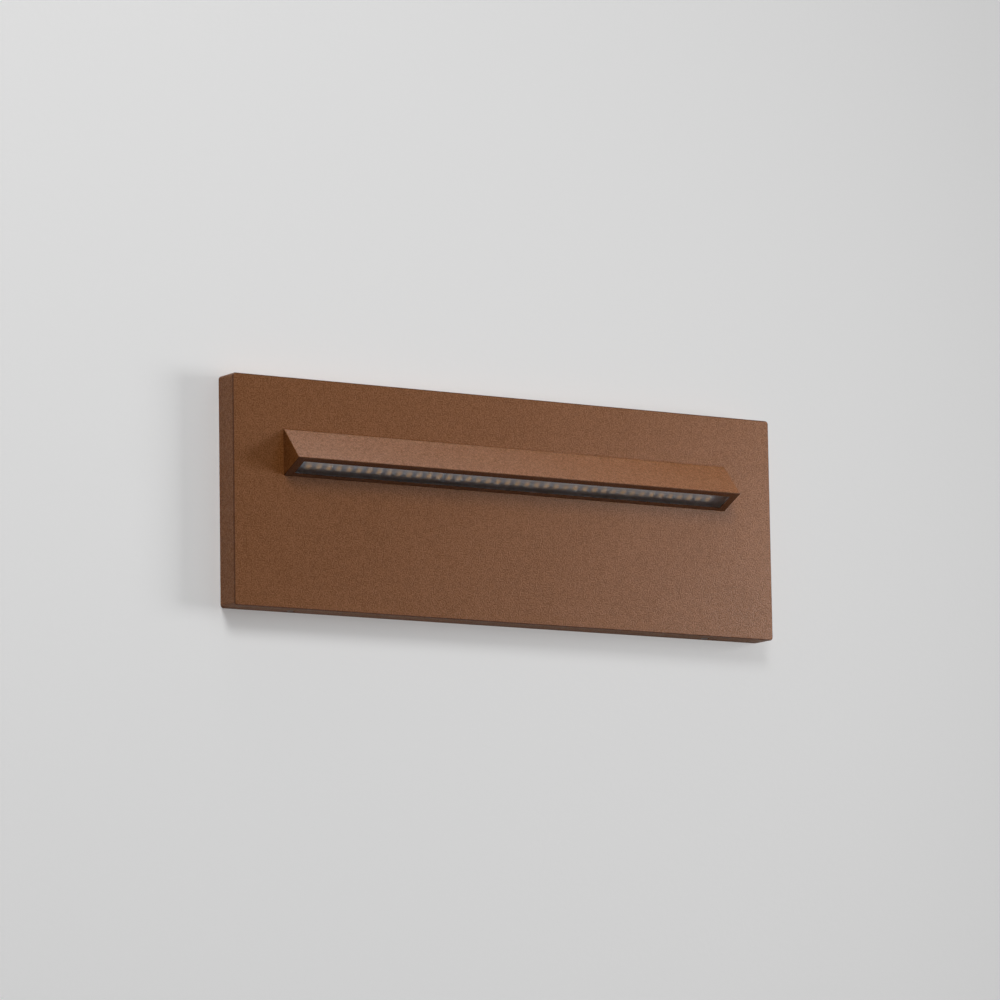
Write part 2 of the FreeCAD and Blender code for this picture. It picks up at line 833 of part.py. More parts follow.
def housing():
    """Cast body: the flange that the hood and the plate sit on, and the driver's box behind it."""
    body = join([flange_blank()] + driver_box_blank())
    for x in post_xs:
        for side in (-1, 1):
            floor = cover_back_y - cover_screw_length - overrun
            body = body.cut(rod_y(m3_radius + thread_gap, x, side * post_z, floor, cover_y + overrun))
    pilot_floor = flange_back_y - blind_floor
    for x, z in hood_screw_places() + carrier_screw_places():
        body = body.cut(rod_y(m3_radius + thread_gap, x, z, flange_front_y - overrun, pilot_floor))
    for side in (-1, 1):
        x = side * fixing_x
        clear = fixing_radius + fixing_hole_gap
        body = body.cut(rod_y(clear, x, 0, flange_front_y - overrun, flange_back_y + overrun))
        body = body.cut(sink(clear, fixing_head_radius, fixing_head_height, x, 0, flange_front_y))
    body = body.cut(rod_y(
        grommet_seat + thread_gap, wire_hole_x, wire_hole_z,
        flange_front_y - overrun, flange_back_y + overrun))
    for x, z in driver_ear_places():
        tip = driver_y + driver_ear_thickness - driver_screw_length - thread_gap
        body = body.cut(rod_y(m3_radius + thread_gap, x, z, tip, driver_y + overrun))
    tip = earth_boss_y + earth_washer_thickness - earth_screw_length - thread_gap
    body = body.cut(rod_y(earth_screw_radius + thread_gap, earth_x, 0, tip, earth_boss_y + overrun))
    wall_x = housing_left + housing_wall
    body = body.cut(rod_x(
        gland_shank_radius + thread_gap, gland_y, 0, housing_left - overrun, wall_x + overrun))
    wall_z = -housing_height / 2
    body = body.cut(rod_z(
        vent_shank_radius + thread_gap, vent_x, vent_y, wall_z - overrun, wall_z + housing_wall + overrun))
    return body


def wall_gasket():
    """Closed-cell foam ring between the housing's flange and the wall box's rim."""
    cut = box_wall + wall_gasket_inner_lap
    body = slab(box_width, box_height, flange_back_y, box_rim_y, box_corner)
    inner = slab(box_width - 2 * cut, box_height - 2 * cut, flange_back_y - overrun,
                 box_rim_y + overrun, box_corner / 2)
    for side in (-1, 1):
        inner = inner.fuse(rod_y(
            fixing_head_way, side * fixing_x, 0, flange_back_y - overrun, box_rim_y + overrun))
    return body.cut(inner)


def rear_cover():
    """Flat lid screwed over the driver's box."""
    body = slab(housing_width, housing_height, cover_y, cover_back_y, housing_corner, housing_middle_x)
    for x in post_xs:
        for side in (-1, 1):
            body = body.cut(rod_y(
                m3_radius + thread_gap, x, side * post_z, cover_y - overrun, cover_back_y + overrun))
    return body


def cover_gasket():
    """Silicone ring between the driver's box and its lid."""
    width = housing_width - 2 * cover_gasket_width
    height = housing_height - 2 * cover_gasket_width
    body = slab(housing_width, housing_height, housing_back, cover_y, housing_corner, housing_middle_x)
    inner = slab(width, height, housing_back - overrun, cover_y + overrun,
                 housing_corner / 2, housing_middle_x)
    for x in post_xs:
        for side in (-1, 1):
            inner = inner.fuse(rod_y(
                post_radius + thread_gap, x, side * post_z, housing_back - overrun, cover_y + overrun))
    return body.cut(inner)


def cover_screws():
    """Pan-head screws of the rear lid, driven from behind."""
    screw = pan_screw(m3_radius, cover_screw_length, m3_head_radius, m3_head_height)
    return group([
        placed(screw, x, cover_back_y, side * post_z, faces_room=False)
        for x in post_xs for side in (-1, 1)])


def fixing_screw(side):
    """Countersunk screw that draws the housing onto the wall box."""
    screw = sunk_screw(fixing_radius, fixing_length, fixing_head_radius, fixing_head_height)
    return placed(screw, side * fixing_x, flange_front_y, 0)


def wire_grommet():
    """Rubber ring that lines the leads' hole through the flange."""
    lip = grommet_seat + grommet_lip
    body = rod_y(grommet_seat, wire_hole_x, wire_hole_z, flange_front_y, flange_back_y + grommet_lip_height)
    back = rod_y(lip, wire_hole_x, wire_hole_z, flange_back_y, flange_back_y + grommet_lip_height)
    bore = rod_y(grommet_bore, wire_hole_x, wire_hole_z, flange_front_y - overrun,
                 flange_back_y + grommet_lip_height + overrun)
    return body.fuse(back).cut(bore).removeSplitter()


def lead_points(side):
    """Route of one lead: out of the driver, round and forward through the flange to the board."""
    y = lead_y + side * lead_spacing / 2
    x = wire_hole_x + side * lead_bundle / 2
    start = Vector(driver_right - driver_terminal_inset - lead_bite, y, lead_z)
    inward = board_back + lead_radius + lead_clear
    land_y, land_z = slope_yz(board_front + board_width * lead_land_share, inward)
    bend_y = flange_back_y + lead_bend_above_flange + side * lead_spacing / 2
    climb = (wire_hole_z - land_z) / (flange_middle_y - land_y)
    bend = Vector(x, bend_y, wire_hole_z + climb * (bend_y - flange_middle_y))
    return [start, start + X_AXIS * lead_first_run, bend, Vector(x, land_y, land_z)]


def lead(side):
    """Round lead that follows straight runs joined by tangent arcs."""
    points = lead_points(side)
    edges, at = [], points[0]
    for before, corner, after in zip(points, points[1:], points[2:]):
        into = corner - before
        out = after - corner
        shorter = min(into.Length, out.Length)
        into.normalize()
        out.normalize()
        half_turn = into.getAngle(out) / 2
        back_off = bend_share * shorter
        radius = back_off / math.tan(half_turn)
        print("lead", "left" if side < 0 else "right", "bend radius", round(radius, 1))
        first, last = corner - into * back_off, corner + out * back_off
        centre_way = out - into
        centre_way.normalize()
        centre = corner + centre_way * (radius / math.cos(half_turn))
        middle = centre - centre_way * radius
        edges.append(Part.LineSegment(at, first).toShape())
        edges.append(Part.Arc(first, middle, last).toShape())
        at = last
    edges.append(Part.LineSegment(at, points[-1]).toShape())
    path = Part.Wire(edges)
    ring = Part.Wire(Part.makeCircle(lead_radius, points[0], points[1] - points[0]))
    tube = path.makePipeShell([ring], True, False)
    print("lead volume", round(tube.Volume, 1), "section times length",
          round(math.pi * lead_radius ** 2 * path.Length, 1))
    return tube


def driver_case():
    """Plastic tray of the driver, with two fixing ears and holes for the leads."""
    z_half = driver_width / 2
    top = driver_y + driver_height
    body = block(driver_left, driver_right, driver_y, top, -z_half, z_half)
    body = body.cut(block(
        driver_left + driver_wall, driver_right - driver_wall, driver_y + driver_floor, top + overrun,
        -z_half + driver_wall, z_half - driver_wall))
    ears = []
    for x, z in driver_ear_places():
        half = driver_ear / 2
        ears.append(block(
            x - half, x + half, driver_y, driver_y + driver_ear_thickness,
            z - driver_ear_width / 2, z + driver_ear_width / 2))
    stand_inset = driver_wall + driver_terminal_inset
    for x in (driver_left + stand_inset, driver_right - stand_inset):
        ears.append(block(
            x - driver_wall, x + driver_wall, driver_y + driver_floor / 2, driver_board_y,
            -z_half + driver_wall / 2, z_half - driver_wall / 2))
    body = join([body] + ears)
    for x, z in driver_ear_places():
        body = body.cut(rod_y(
            m3_radius + thread_gap, x, z, driver_y - overrun, driver_y + driver_ear_thickness + overrun))
    for side in (-1, 1):
        y = lead_y + side * lead_spacing / 2
        body = body.cut(rod_x(
            lead_radius + lead_hole_gap, y, lead_z, driver_right - driver_wall - overrun,
            driver_right + overrun))
    mains = rod_x(lead_radius * 2, lead_y, 0, driver_left - overrun, driver_left + driver_wall + overrun)
    return body.cut(mains)


def driver_lid():
    """Lid that drops on the driver's tray."""
    z_half = driver_width / 2
    top = driver_y + driver_height
    lid = block(driver_left, driver_right, top, top + driver_lid_thickness, -z_half, z_half)
    inset = driver_wall + pocket_gap
    skirt = block(
        driver_left + inset, driver_right - inset, top - driver_lid_thickness / 2, top,
        -z_half + inset, z_half - inset)
    return join([lid, skirt])


def driver_board():
    """Circuit board in the driver's case."""
    inset = driver_wall + driver_board_gap
    return block(
        driver_left + inset, driver_right - inset, driver_board_y, driver_parts_y,
        -board_half_z, board_half_z)


def driver_transformer():
    """Wound transformer: a ferrite core round a coil former."""
    x = transformer_x
    half_x, half_z = transformer_length / 2, transformer_width / 2
    top = driver_parts_y + transformer_height
    coil = block(x - half_x, x + half_x, driver_parts_y, top, -half_z / 2, half_z / 2)
    core_top = top - transformer_tape
    core = block(x - half_x / 2, x + half_x / 2, driver_parts_y, core_top, -half_z, half_z)
    return join([coil, core])


def driver_choke():
    """Ring-shaped choke lying flat on the board."""
    top = driver_parts_y + choke_height
    body = rod_y(choke_radius, choke_x, 0, driver_parts_y, top)
    body = body.cut(rod_y(choke_bore, choke_x, 0, driver_parts_y - overrun, top + overrun))
    rims = [e for e in body.Edges if len(e.Vertexes) == 1]
    return body.makeFillet(choke_edge, rims)


def driver_capacitors():
    """Upright smoothing capacitors."""
    top = driver_parts_y + capacitor_height
    cans = []
    for side in (-1, 0, 1):
        can = rod_y(capacitor_radius, capacitor_x, side * capacitor_pitch, driver_parts_y, top)
        rim = [e for e in can.Edges if abs(e.CenterOfMass.y - top) < thread_gap]
        cans.append(can.makeFillet(capacitor_rim, rim))
    return group(cans)


def driver_terminals():
    """Input and output terminals at the ends of the driver's board."""
    top = driver_parts_y + driver_terminal_height
    half = driver_terminal_width / 2
    left = supply_end_x - driver_terminal_length
    supply = block(left, supply_end_x, driver_parts_y, top, -half, half)
    right = output_end_x + driver_terminal_length
    output = block(output_end_x, right, driver_parts_y, top, lead_z - half, lead_z + half)
    for side in (-1, 1):
        y = lead_y + side * lead_spacing / 2
        output = output.cut(rod_x(
            lead_radius + lead_clear, y, lead_z, right - lead_bite - lead_clear, right + overrun))
        supply = supply.cut(rod_x(
            lead_radius + lead_clear, y, 0, left - overrun, left + lead_bite))
    return group([supply, output])


def driver_pad():
    """Heat-conducting pad between the driver and the housing's flange."""
    z_half = driver_width / 2
    return block(driver_left, driver_right, flange_back_y, driver_y, -z_half, z_half)


def driver_screws():
    """Screws through the driver's ears, driven from behind."""
    screw = pan_screw(m3_radius, driver_screw_length, m3_head_radius, m3_head_height)
    y = driver_y + driver_ear_thickness
    return group([placed(screw, x, y, z, faces_room=False) for x, z in driver_ear_places()])


def earth_washer():
    """Washer under the earth screw's head."""
    top_y = earth_boss_y + earth_washer_thickness
    body = rod_y(earth_washer_radius, earth_x, 0, earth_boss_y, top_y)
    return body.cut(rod_y(
        earth_screw_radius + thread_gap, earth_x, 0, earth_boss_y - overrun, top_y + overrun))


def earth_screw():
    """Screw that clamps the protective earth conductor."""
    screw = pan_screw(earth_screw_radius, earth_screw_length, earth_head_radius, earth_head_height)
    return placed(screw, earth_x, earth_boss_y + earth_washer_thickness, 0, faces_room=False)


def gland_body():
    """Threaded gland body: hexagon flange, shank through the wall and clamping collar."""
    wall_x = housing_left + housing_wall
    shank_end = wall_x + gland_locknut_thickness + gland_shank_past_nut
    pieces = [
        hexagon_x(gland_flats, gland_y, 0, gland_flange_x, gland_washer_x),
        rod_x(gland_shank_radius, gland_y, 0, gland_washer_x - overrun, shank_end),
        rod_x(gland_collar_radius, gland_y, 0, gland_flange_x - gland_collar_length,
              gland_flange_x + overrun),
    ]
    body = join(pieces)
    bore = rod_x(gland_bore, gland_y, 0, gland_flange_x - gland_collar_length - overrun,
                 shank_end + overrun)
    body = body.cut(bore)
    seal_start = gland_flange_x - gland_collar_length - overrun
    seat = gland_bore + (gland_collar_radius - gland_bore) / 2
    return body.cut(rod_x(seat, gland_y, 0, seal_start, gland_flange_x))


def gland_seal():
    """Rubber sleeve that grips the supply cable inside the gland."""
    seat = gland_bore + (gland_collar_radius - gland_bore) / 2 - gland_seal_wall_gap
    end = gland_flange_x - thread_gap
    body = rod_x(seat, gland_y, 0, end - gland_seal_length, end)
    return body.cut(rod_x(
        gland_seal_bore, gland_y, 0, end - gland_seal_length - overrun, end + overrun))


def gland_nut():
    """Domed hexagon nut that squeezes the seal."""
    start = gland_flange_x - gland_nut_start
    end = start - gland_nut_length
    body = hexagon_x(gland_nut_flats, gland_y, 0, end + gland_dome, start)
    neck = Part.makeCone(
        gland_nut_mouth + gland_dome, gland_nut_flats / 2, gland_dome, Vector(end, gland_y, 0), X_AXIS)
    body = join([body, neck])
    body = body.cut(rod_x(gland_nut_mouth, gland_y, 0, end - overrun, start + overrun))
    seal_end = gland_flange_x - thread_gap - gland_seal_length - thread_gap
    return body.cut(rod_x(gland_collar_radius + thread_gap, gland_y, 0, seal_end, start + overrun))


def gland_washer():
    """Flat rubber washer under the gland's flange."""
    body = rod_x(gland_shank_radius + gland_washer_rim, gland_y, 0, gland_washer_x, housing_left)
    return body.cut(rod_x(
        gland_shank_radius + thread_gap, gland_y, 0, gland_washer_x - overrun, housing_left + overrun))


def gland_locknut():
    """Hexagon nut inside the housing's wall."""
    wall_x = housing_left + housing_wall
    end = wall_x + gland_locknut_thickness
    body = hexagon_x(gland_flats, gland_y, 0, wall_x, end)
    return body.cut(rod_x(
        gland_shank_radius + thread_gap, gland_y, 0, wall_x - overrun, end + overrun))


def vent_body():
    """Slotted plug with a membrane bore that lets the housing breathe."""
    wall_z = -housing_height / 2
    seat_z = wall_z - vent_seal_thickness
    head = rod_z(vent_head_radius, vent_x, vent_y, seat_z - vent_head_height, seat_z)
    rim = [e for e in head.Edges if abs(e.CenterOfMass.z - seat_z + vent_head_height) < thread_gap]
    head = head.makeFillet(vent_rim, rim)
    inner_z = wall_z + housing_wall + vent_inner_reach
    body = join([head, rod_z(vent_shank_radius, vent_x, vent_y, seat_z - overrun, inner_z)])
    body = body.cut(rod_z(vent_bore, vent_x, vent_y, seat_z - vent_head_height / 2, inner_z + overrun))
    half = vent_slot / 2
    mouth = seat_z - vent_head_height / 2
    return body.cut(block(
        vent_x - vent_head_radius - overrun, vent_x + vent_head_radius + overrun,
        vent_y - half, vent_y + half, mouth - half, mouth + half))


def vent_clip():
    """Spring ring that holds the vent from inside."""
    z = -housing_height / 2 + housing_wall
    ring = rod_z(vent_shank_radius + vent_clip_width, vent_x, vent_y, z, z + vent_clip_height)
    return ring.cut(rod_z(
        vent_shank_radius + thread_gap, vent_x, vent_y, z - overrun, z + vent_clip_height + overrun))


def vent_seal():
    """Rubber ring under the vent's head."""
    z = -housing_height / 2
    outer = vent_head_radius - vent_seal_thickness
    ring = rod_z(outer, vent_x, vent_y, z - vent_seal_thickness, z)
    return ring.cut(rod_z(
        vent_shank_radius + thread_gap, vent_x, vent_y, z - vent_seal_thickness - overrun, z + overrun))


def recess_box():
    """Moulded box that is walled in, with screw towers, conduit holes, ribs and knockouts."""
    outer = slab(box_width, box_height, box_rim_y, box_back_y, box_corner)
    inner = slab(box_width - 2 * box_wall, box_height - 2 * box_wall, box_rim_y - overrun, box_floor_y,
                 box_corner - box_wall / 2)
    pieces = [outer.cut(inner)]
    for side in (-1, 1):
        tower_end = box_rim_y + tower_depth
        pieces.append(rod_y(tower_radius, side * fixing_x, 0, box_rim_y, tower_end))
        wall_x = side * (box_half - box_wall / 2)
        pieces.append(block(
            side * fixing_x, wall_x, box_rim_y, tower_end, -tower_web / 2, tower_web / 2))
        pieces += box_lugs(side)
    pieces += box_ribs()
    return cut_box(join(pieces))


def box_lugs(side):
    """Mortar lugs on one end of the box."""
    lugs = []
    lug_y = box_rim_y + lug_set_back
    for way in (-1, 1):
        x0, x1 = side * (box_half - box_wall / 2), side * (box_half + lug_reach)
        z = way * lug_z
        half = lug_width / 2
        lug = block(x0, x1, lug_y, lug_y + lug_thickness, z - half, z + half)
        hole_x = side * (box_half + lug_reach / 2)
        lugs.append(lug.cut(rod_y(
            lug_hole_radius, hole_x, z, lug_y - overrun, lug_y + lug_thickness + overrun)))
    return lugs


def box_ribs():
    """Stiffening ribs across the box's top and bottom."""
    ribs = []
    for i in range(box_rib_count):
        x = box_rib_spacing * (i - (box_rib_count - 1) / 2)
        half = box_rib_width / 2
        for side in (-1, 1):
            near = side * (box_height / 2 - box_wall / 2)
            far = side * (box_height / 2 + box_rib_height)
            ribs.append(block(
                x - half, x + half, box_rim_y + box_rib_start, box_back_y - box_rib_end_gap, near, far))
    return ribs


def cut_box(body):
    """Insert bores, conduit holes, fixing holes, drain holes and knockout grooves."""
    for side in (-1, 1):
        x = side * fixing_x
        insert_end = box_rim_y + insert_sink + insert_length
        body = body.cut(rod_y(insert_radius + thread_gap, x, 0, box_rim_y - overrun, insert_end))
        bore_end = box_rim_y + tower_depth - tower_bore_floor
        body = body.cut(rod_y(tower_bore_radius, x, 0, box_rim_y, bore_end))
        body = body.cut(rod_x(
            adaptor_radius + thread_gap, conduit_y, conduit_z(side),
            side * (box_half - box_wall - overrun), side * (box_half + overrun)))
    for x in (-back_hole_x, back_hole_x):
        for z in (-back_hole_z, back_hole_z):
            body = body.cut(rod_y(back_hole_radius, x, z, box_floor_y - overrun, box_back_y + overrun))
    for x, z in terminal_ear_places():
        body = body.cut(rod_y(
            ear_screw_radius + thread_gap, x, z, box_floor_y - overrun,
            box_floor_y + ear_screw_bite + thread_gap))
    wall_z = -box_height / 2
    drain_y = box_rim_y + drain_set_back
    for way in (-1, 1):
        x = way * box_rib_spacing * drain_rib_share
        body = body.cut(rod_z(drain_radius, x, drain_y, wall_z - overrun, wall_z + box_wall + overrun))
    return cut_knockouts(body)


def cut_knockouts(body):
    """Thin-walled rings that let a round be knocked out for a further cable."""
    depth = box_wall - knockout_web
    knockout_y = box_rim_y + knockout_set_back
    for way in (-1, 1):
        x = way * box_rib_spacing * knockout_rib_share
        for side in (-1, 1):
            z0, z1 = side * (box_height / 2 - depth), side * (box_height / 2 + overrun)
            ring = rod_z(knockout_radius, x, knockout_y, z0, z1)
            ring = ring.cut(rod_z(knockout_radius - knockout_groove, x, knockout_y, z0, z1))
            body = body.cut(ring)
        ring = rod_y(knockout_radius, x, 0, box_back_y - depth, box_back_y + overrun)
        body = body.cut(ring.cut(rod_y(
            knockout_radius - knockout_groove, x, 0, box_back_y - depth, box_back_y + overrun)))
    return body


def conduit_z(side):
    """Height of the conduit at one end: high at the left, low at the right."""
    return -side * conduit_stagger


def conduit_adaptors():
    """Sockets for the supply conduits, each with a flange inside the box and a stop for the conduit."""
    sockets = []
    for side in (-1, 1):
        z = conduit_z(side)
        seat_x = box_half - box_wall
        flange_x = seat_x - adaptor_flange_thickness
        body = join([
            rod_x(adaptor_radius, conduit_y, z, side * conduit_inner_x, side * box_half),
            rod_x(adaptor_flange_radius, conduit_y, z, side * flange_x, side * seat_x)])
        cuts = (
            (conduit_stop_radius, conduit_inner_x - overrun, conduit_stop_x + overrun),
            (conduit_radius, conduit_stop_x, conduit_mouth_x + overrun),
            (conduit_radius + conduit_mouth_gap, conduit_mouth_x, box_half + overrun))
        for radius, near, far in cuts:
            body = body.cut(rod_x(radius, conduit_y, z, side * near, side * far))
        sockets.append(body)
    return group(sockets)


def threaded_inserts():
    """Brass inserts pressed in the towers."""
    inserts = []
    for side in (-1, 1):
        x = side * fixing_x
        start = box_rim_y + insert_sink
        end = start + insert_length - thread_gap
        body = rod_y(insert_radius, x, 0, start, end)
        band = insert_length * insert_band_share
        waist = rod_y(insert_radius + overrun, x, 0, start + band, end - band)
        waist = waist.cut(rod_y(insert_radius - insert_waist, x, 0, start + band, end - band))
        bore = rod_y(fixing_radius + thread_gap, x, 0, start - overrun, end + overrun)
        inserts.append(body.cut(waist).cut(bore))
    return group(inserts)


def entry_membranes():
    """Rubber membranes that close the conduit adaptors until a cable is pushed through."""
    plugs = []
    for side in (-1, 1):
        z = conduit_z(side)
        x0, stop_x = side * conduit_inner_x, side * conduit_stop_x
        disc = rod_x(membrane_rim, conduit_y, z, side * (conduit_inner_x - membrane_thickness), x0)
        collar = rod_x(conduit_stop_radius - thread_gap, conduit_y, z, x0, stop_x)
        collar = collar.cut(rod_x(
            conduit_stop_radius - membrane_collar, conduit_y, z, x0, stop_x + side * overrun))
        plugs.append(join([disc, collar]))
    return group(plugs)


def terminal_block():
    """Moulded block with a lever slot and a wire tunnel for each pole."""
    x0, x1 = terminal_left, terminal_left + terminal_length
    body = block(x0, x1, terminal_front_y, box_floor_y, -terminal_half_z, terminal_half_z)
    ears = []
    for x, z in terminal_ear_places():
        inner = math.copysign(terminal_half_z - overrun, z)
        outer = math.copysign(terminal_half_z + ear_reach, z)
        half = ear_reach / 2
        ears.append(block(x - half, x + half, box_floor_y - ear_thickness, box_floor_y, inner, outer))
    body = join([body] + ears)
    pivot_x = x0 + lever_pivot_x
    slot_x = pivot_x - lever_barrel - lever_sink
    floor_y = terminal_front_y + lever_slot_depth
    tunnel_y = box_floor_y - tunnel_floor
    for z in pole_zs:
        half = lever_slot_width / 2
        body = body.cut(block(
            slot_x, x1 + overrun, terminal_front_y - overrun, floor_y, z - half, z + half))
        reach = half + trunnion_length + trunnion_gap
        pivot_y = terminal_front_y + lever_pivot_depth
        body = body.cut(rod_z(trunnion_radius + trunnion_gap, pivot_x, pivot_y, z - reach, z + reach))
        half = tunnel_width / 2
        body = body.cut(block(
            x0 - overrun, x1 + overrun, tunnel_y - tunnel_height, tunnel_y, z - half, z + half))
    for x, z in terminal_ear_places():
        body = body.cut(rod_y(
            ear_screw_radius + thread_gap, x, z, box_floor_y - ear_thickness - overrun,
            box_floor_y + overrun))
    return body


def terminal_lever(pole):
    """One clamp lever, lying shut in its slot, with trunnions at its pivot."""
    z = pole_zs[pole]
    pivot_x = terminal_left + lever_pivot_x
    pivot_y = terminal_front_y + lever_pivot_depth
    half = lever_width / 2
    tip_x = terminal_left + terminal_length + lever_tip
    arm_y = terminal_front_y + lever_sink
    arm = block(pivot_x, tip_x, arm_y, arm_y + lever_thickness, z - half, z + half)
    barrel = rod_z(lever_barrel, pivot_x, pivot_y, z - half, z + half)
    reach = lever_slot_width / 2 + trunnion_length
    trunnions = rod_z(trunnion_radius, pivot_x, pivot_y, z - reach, z + reach)
    body = join([arm, barrel, trunnions])
    for i in range(lever_grip_count):
        x = tip_x - lever_tip - lever_grip * 2 * i
        body = body.cut(block(
            x - lever_grip, x, arm_y - overrun, arm_y + lever_grip, z - half - overrun, z + half + overrun))
    return body


def terminal_contacts():
    """Brass bars at the back of the wire tunnels."""
    tunnel_y = box_floor_y - tunnel_floor
    half_x, half_z = contact_length / 2, contact_width / 2
    return group([
        block(terminal_x - half_x, terminal_x + half_x, tunnel_y - contact_thickness, tunnel_y,
              z - half_z, z + half_z)
        for z in pole_zs])


def terminal_screws():
    """Screws that hold the supply terminal in the wall box."""
    length = ear_thickness + ear_screw_bite
    screw = pan_screw(ear_screw_radius, length, ear_screw_head, ear_screw_head_height)
    y = box_floor_y - ear_thickness
    return group([placed(screw, x, y, z) for x, z in terminal_ear_places()])


NODES = {
    "front_plate": front_plate,
    "grub_screw_left": lambda: grub_screw(-1),
    "grub_screw_right": lambda: grub_screw(1),
    "light_hood": light_hood,
    "hood_gasket": hood_gasket,
    "hood_screws": hood_screws,
    "diffuser": diffuser,
    "diffuser_seal": diffuser_seal,
    "led_board": led_board,
    "led_packages": led_packages,
    "led_phosphors": led_phosphors,
    "thermal_tape": thermal_tape,
    "board_carrier": board_carrier,
    "carrier_screws": carrier_screws,
    "housing": housing,
    "wall_gasket": wall_gasket,
    "rear_cover": rear_cover,
    "cover_gasket": cover_gasket,
    "cover_screws": cover_screws,
    "fixing_screw_left": lambda: fixing_screw(-1),
    "fixing_screw_right": lambda: fixing_screw(1),
    "wire_grommet": wire_grommet,
    "lead_positive": lambda: lead(1),
    "lead_negative": lambda: lead(-1),
    "driver_case": driver_case,
    "driver_lid": driver_lid,
    "driver_board": driver_board,
    "driver_transformer": driver_transformer,
    "driver_choke": driver_choke,
    "driver_capacitors": driver_capacitors,
    "driver_terminals": driver_terminals,
    "driver_pad": driver_pad,
    "driver_screws": driver_screws,
    "earth_washer": earth_washer,
    "earth_screw": earth_screw,
    "gland_body": gland_body,
    "gland_seal": gland_seal,
    "gland_nut": gland_nut,
    "gland_washer": gland_washer,
    "gland_locknut": gland_locknut,
    "vent_body": vent_body,
    "vent_clip": vent_clip,
    "vent_seal": vent_seal,
    "recess_box": recess_box,
    "threaded_inserts": threaded_inserts,
    "conduit_adaptors": conduit_adaptors,
    "entry_membranes": entry_membranes,
    "terminal_block": terminal_block,
    "lever_live": lambda: terminal_lever(2),
    "lever_neutral": lambda: terminal_lever(1),
    "lever_earth": lambda: terminal_lever(0),
    "terminal_contacts": terminal_contacts,
    "terminal_screws": terminal_screws,
}


def main():
    """Builds every node and writes it to its own STEP file."""
    os.makedirs("parts", exist_ok=True)
    for name, make in NODES.items():
        shape = make()
        box = shape.BoundBox
        print(f"{name:20s} solids {len(shape.Solids):3d} valid {shape.isValid()}",
              f"volume {shape.Volume:10.1f} x {box.XMin:.1f} {box.XMax:.1f}",
              f"y {box.YMin:.1f} {box.YMax:.1f} z {box.ZMin:.1f} {box.ZMax:.1f}")
        shape.exportStep(f"parts/{name}.step")


main()
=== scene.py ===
# %% [markdown]
# # A recessed wall light, dressed for its picture
# The light is a cast plate with a triangular hood across it. Behind the plate its works are sunk
# in the wall. The sizes come from a packed engineering model, which is loaded first and never
# moved. This lesson adds the stage, the lamps, the finishes and the small detail that the
# engineering model leaves out.

# %% Load the packed model
import json
import math
import bmesh
import bpy
from mathutils import Matrix, Vector


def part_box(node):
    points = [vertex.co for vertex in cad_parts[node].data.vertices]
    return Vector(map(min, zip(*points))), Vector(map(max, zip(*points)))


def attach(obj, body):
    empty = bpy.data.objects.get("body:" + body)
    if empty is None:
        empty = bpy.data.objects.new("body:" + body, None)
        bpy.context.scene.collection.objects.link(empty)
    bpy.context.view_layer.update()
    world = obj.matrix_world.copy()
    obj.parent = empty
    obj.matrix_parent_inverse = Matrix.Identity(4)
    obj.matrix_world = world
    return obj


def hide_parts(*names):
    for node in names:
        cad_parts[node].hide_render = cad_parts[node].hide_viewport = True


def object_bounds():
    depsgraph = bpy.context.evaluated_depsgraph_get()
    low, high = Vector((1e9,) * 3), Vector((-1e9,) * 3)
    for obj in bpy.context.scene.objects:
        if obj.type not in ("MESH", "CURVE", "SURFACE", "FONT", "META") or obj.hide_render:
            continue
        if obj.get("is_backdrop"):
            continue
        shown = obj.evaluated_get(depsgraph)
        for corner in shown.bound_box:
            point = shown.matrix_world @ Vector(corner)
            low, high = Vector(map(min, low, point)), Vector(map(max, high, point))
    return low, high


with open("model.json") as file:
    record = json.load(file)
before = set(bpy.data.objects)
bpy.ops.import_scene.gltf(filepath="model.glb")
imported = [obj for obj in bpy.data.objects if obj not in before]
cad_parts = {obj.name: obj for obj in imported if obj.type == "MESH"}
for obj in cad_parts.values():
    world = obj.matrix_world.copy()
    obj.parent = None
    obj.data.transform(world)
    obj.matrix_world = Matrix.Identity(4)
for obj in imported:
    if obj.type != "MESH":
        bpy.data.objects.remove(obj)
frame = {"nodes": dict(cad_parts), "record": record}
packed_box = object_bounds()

MM = 0.001
record = frame["record"]
slot_of = {part["node"]: part["material_slot"] for part in record["subparts"]}
body_of = {node: body for body, nodes in record["behaviour"]["bodies"].items() for node in nodes}

# %% [markdown]
# ## Camera
# The photograph is taken with a long lens from the left of the light and a little below it. A
# long lens could be faked by cropping a wide one, but then near edges would splay. The place and
# the lens here were solved from the plate's straight edges, so the model falls on the
# photograph's outline.

# %% Camera
SENSOR_WIDTH, FOCAL_LENGTH = 36.0, 202.85
eye = Vector((-1.33253, -2.05723, -0.36213))
look = Vector((0.5383157, 0.8295530, 0.1485197)).normalized()
up = Vector((-0.0675495, -0.1331937, 0.9887854))
up = (up - look * up.dot(look)).normalized()
side = look.cross(up)
lens = bpy.data.cameras.new("camera")
lens.sensor_width = SENSOR_WIDTH
lens.lens = FOCAL_LENGTH
camera = bpy.data.objects.new("camera", lens)
aim = Matrix((side, up, -look)).transposed().to_4x4()
camera.matrix_world = Matrix.Translation(eye) @ aim
bpy.context.scene.collection.objects.link(camera)
bpy.context.scene.camera = camera
bpy.context.scene.view_settings.view_transform = "Standard"
print("camera", round(eye.length, 3), "m from the plate, lens", FOCAL_LENGTH, "mm")

# %% [markdown]
# ## Shader maths
# A finish is a small net of nodes. Each sum could be wired by hand, node by node, but the net is
# then hard to read. The class below holds one output and lets Python's own signs add the Math
# nodes, so a formula in the code looks like a formula.


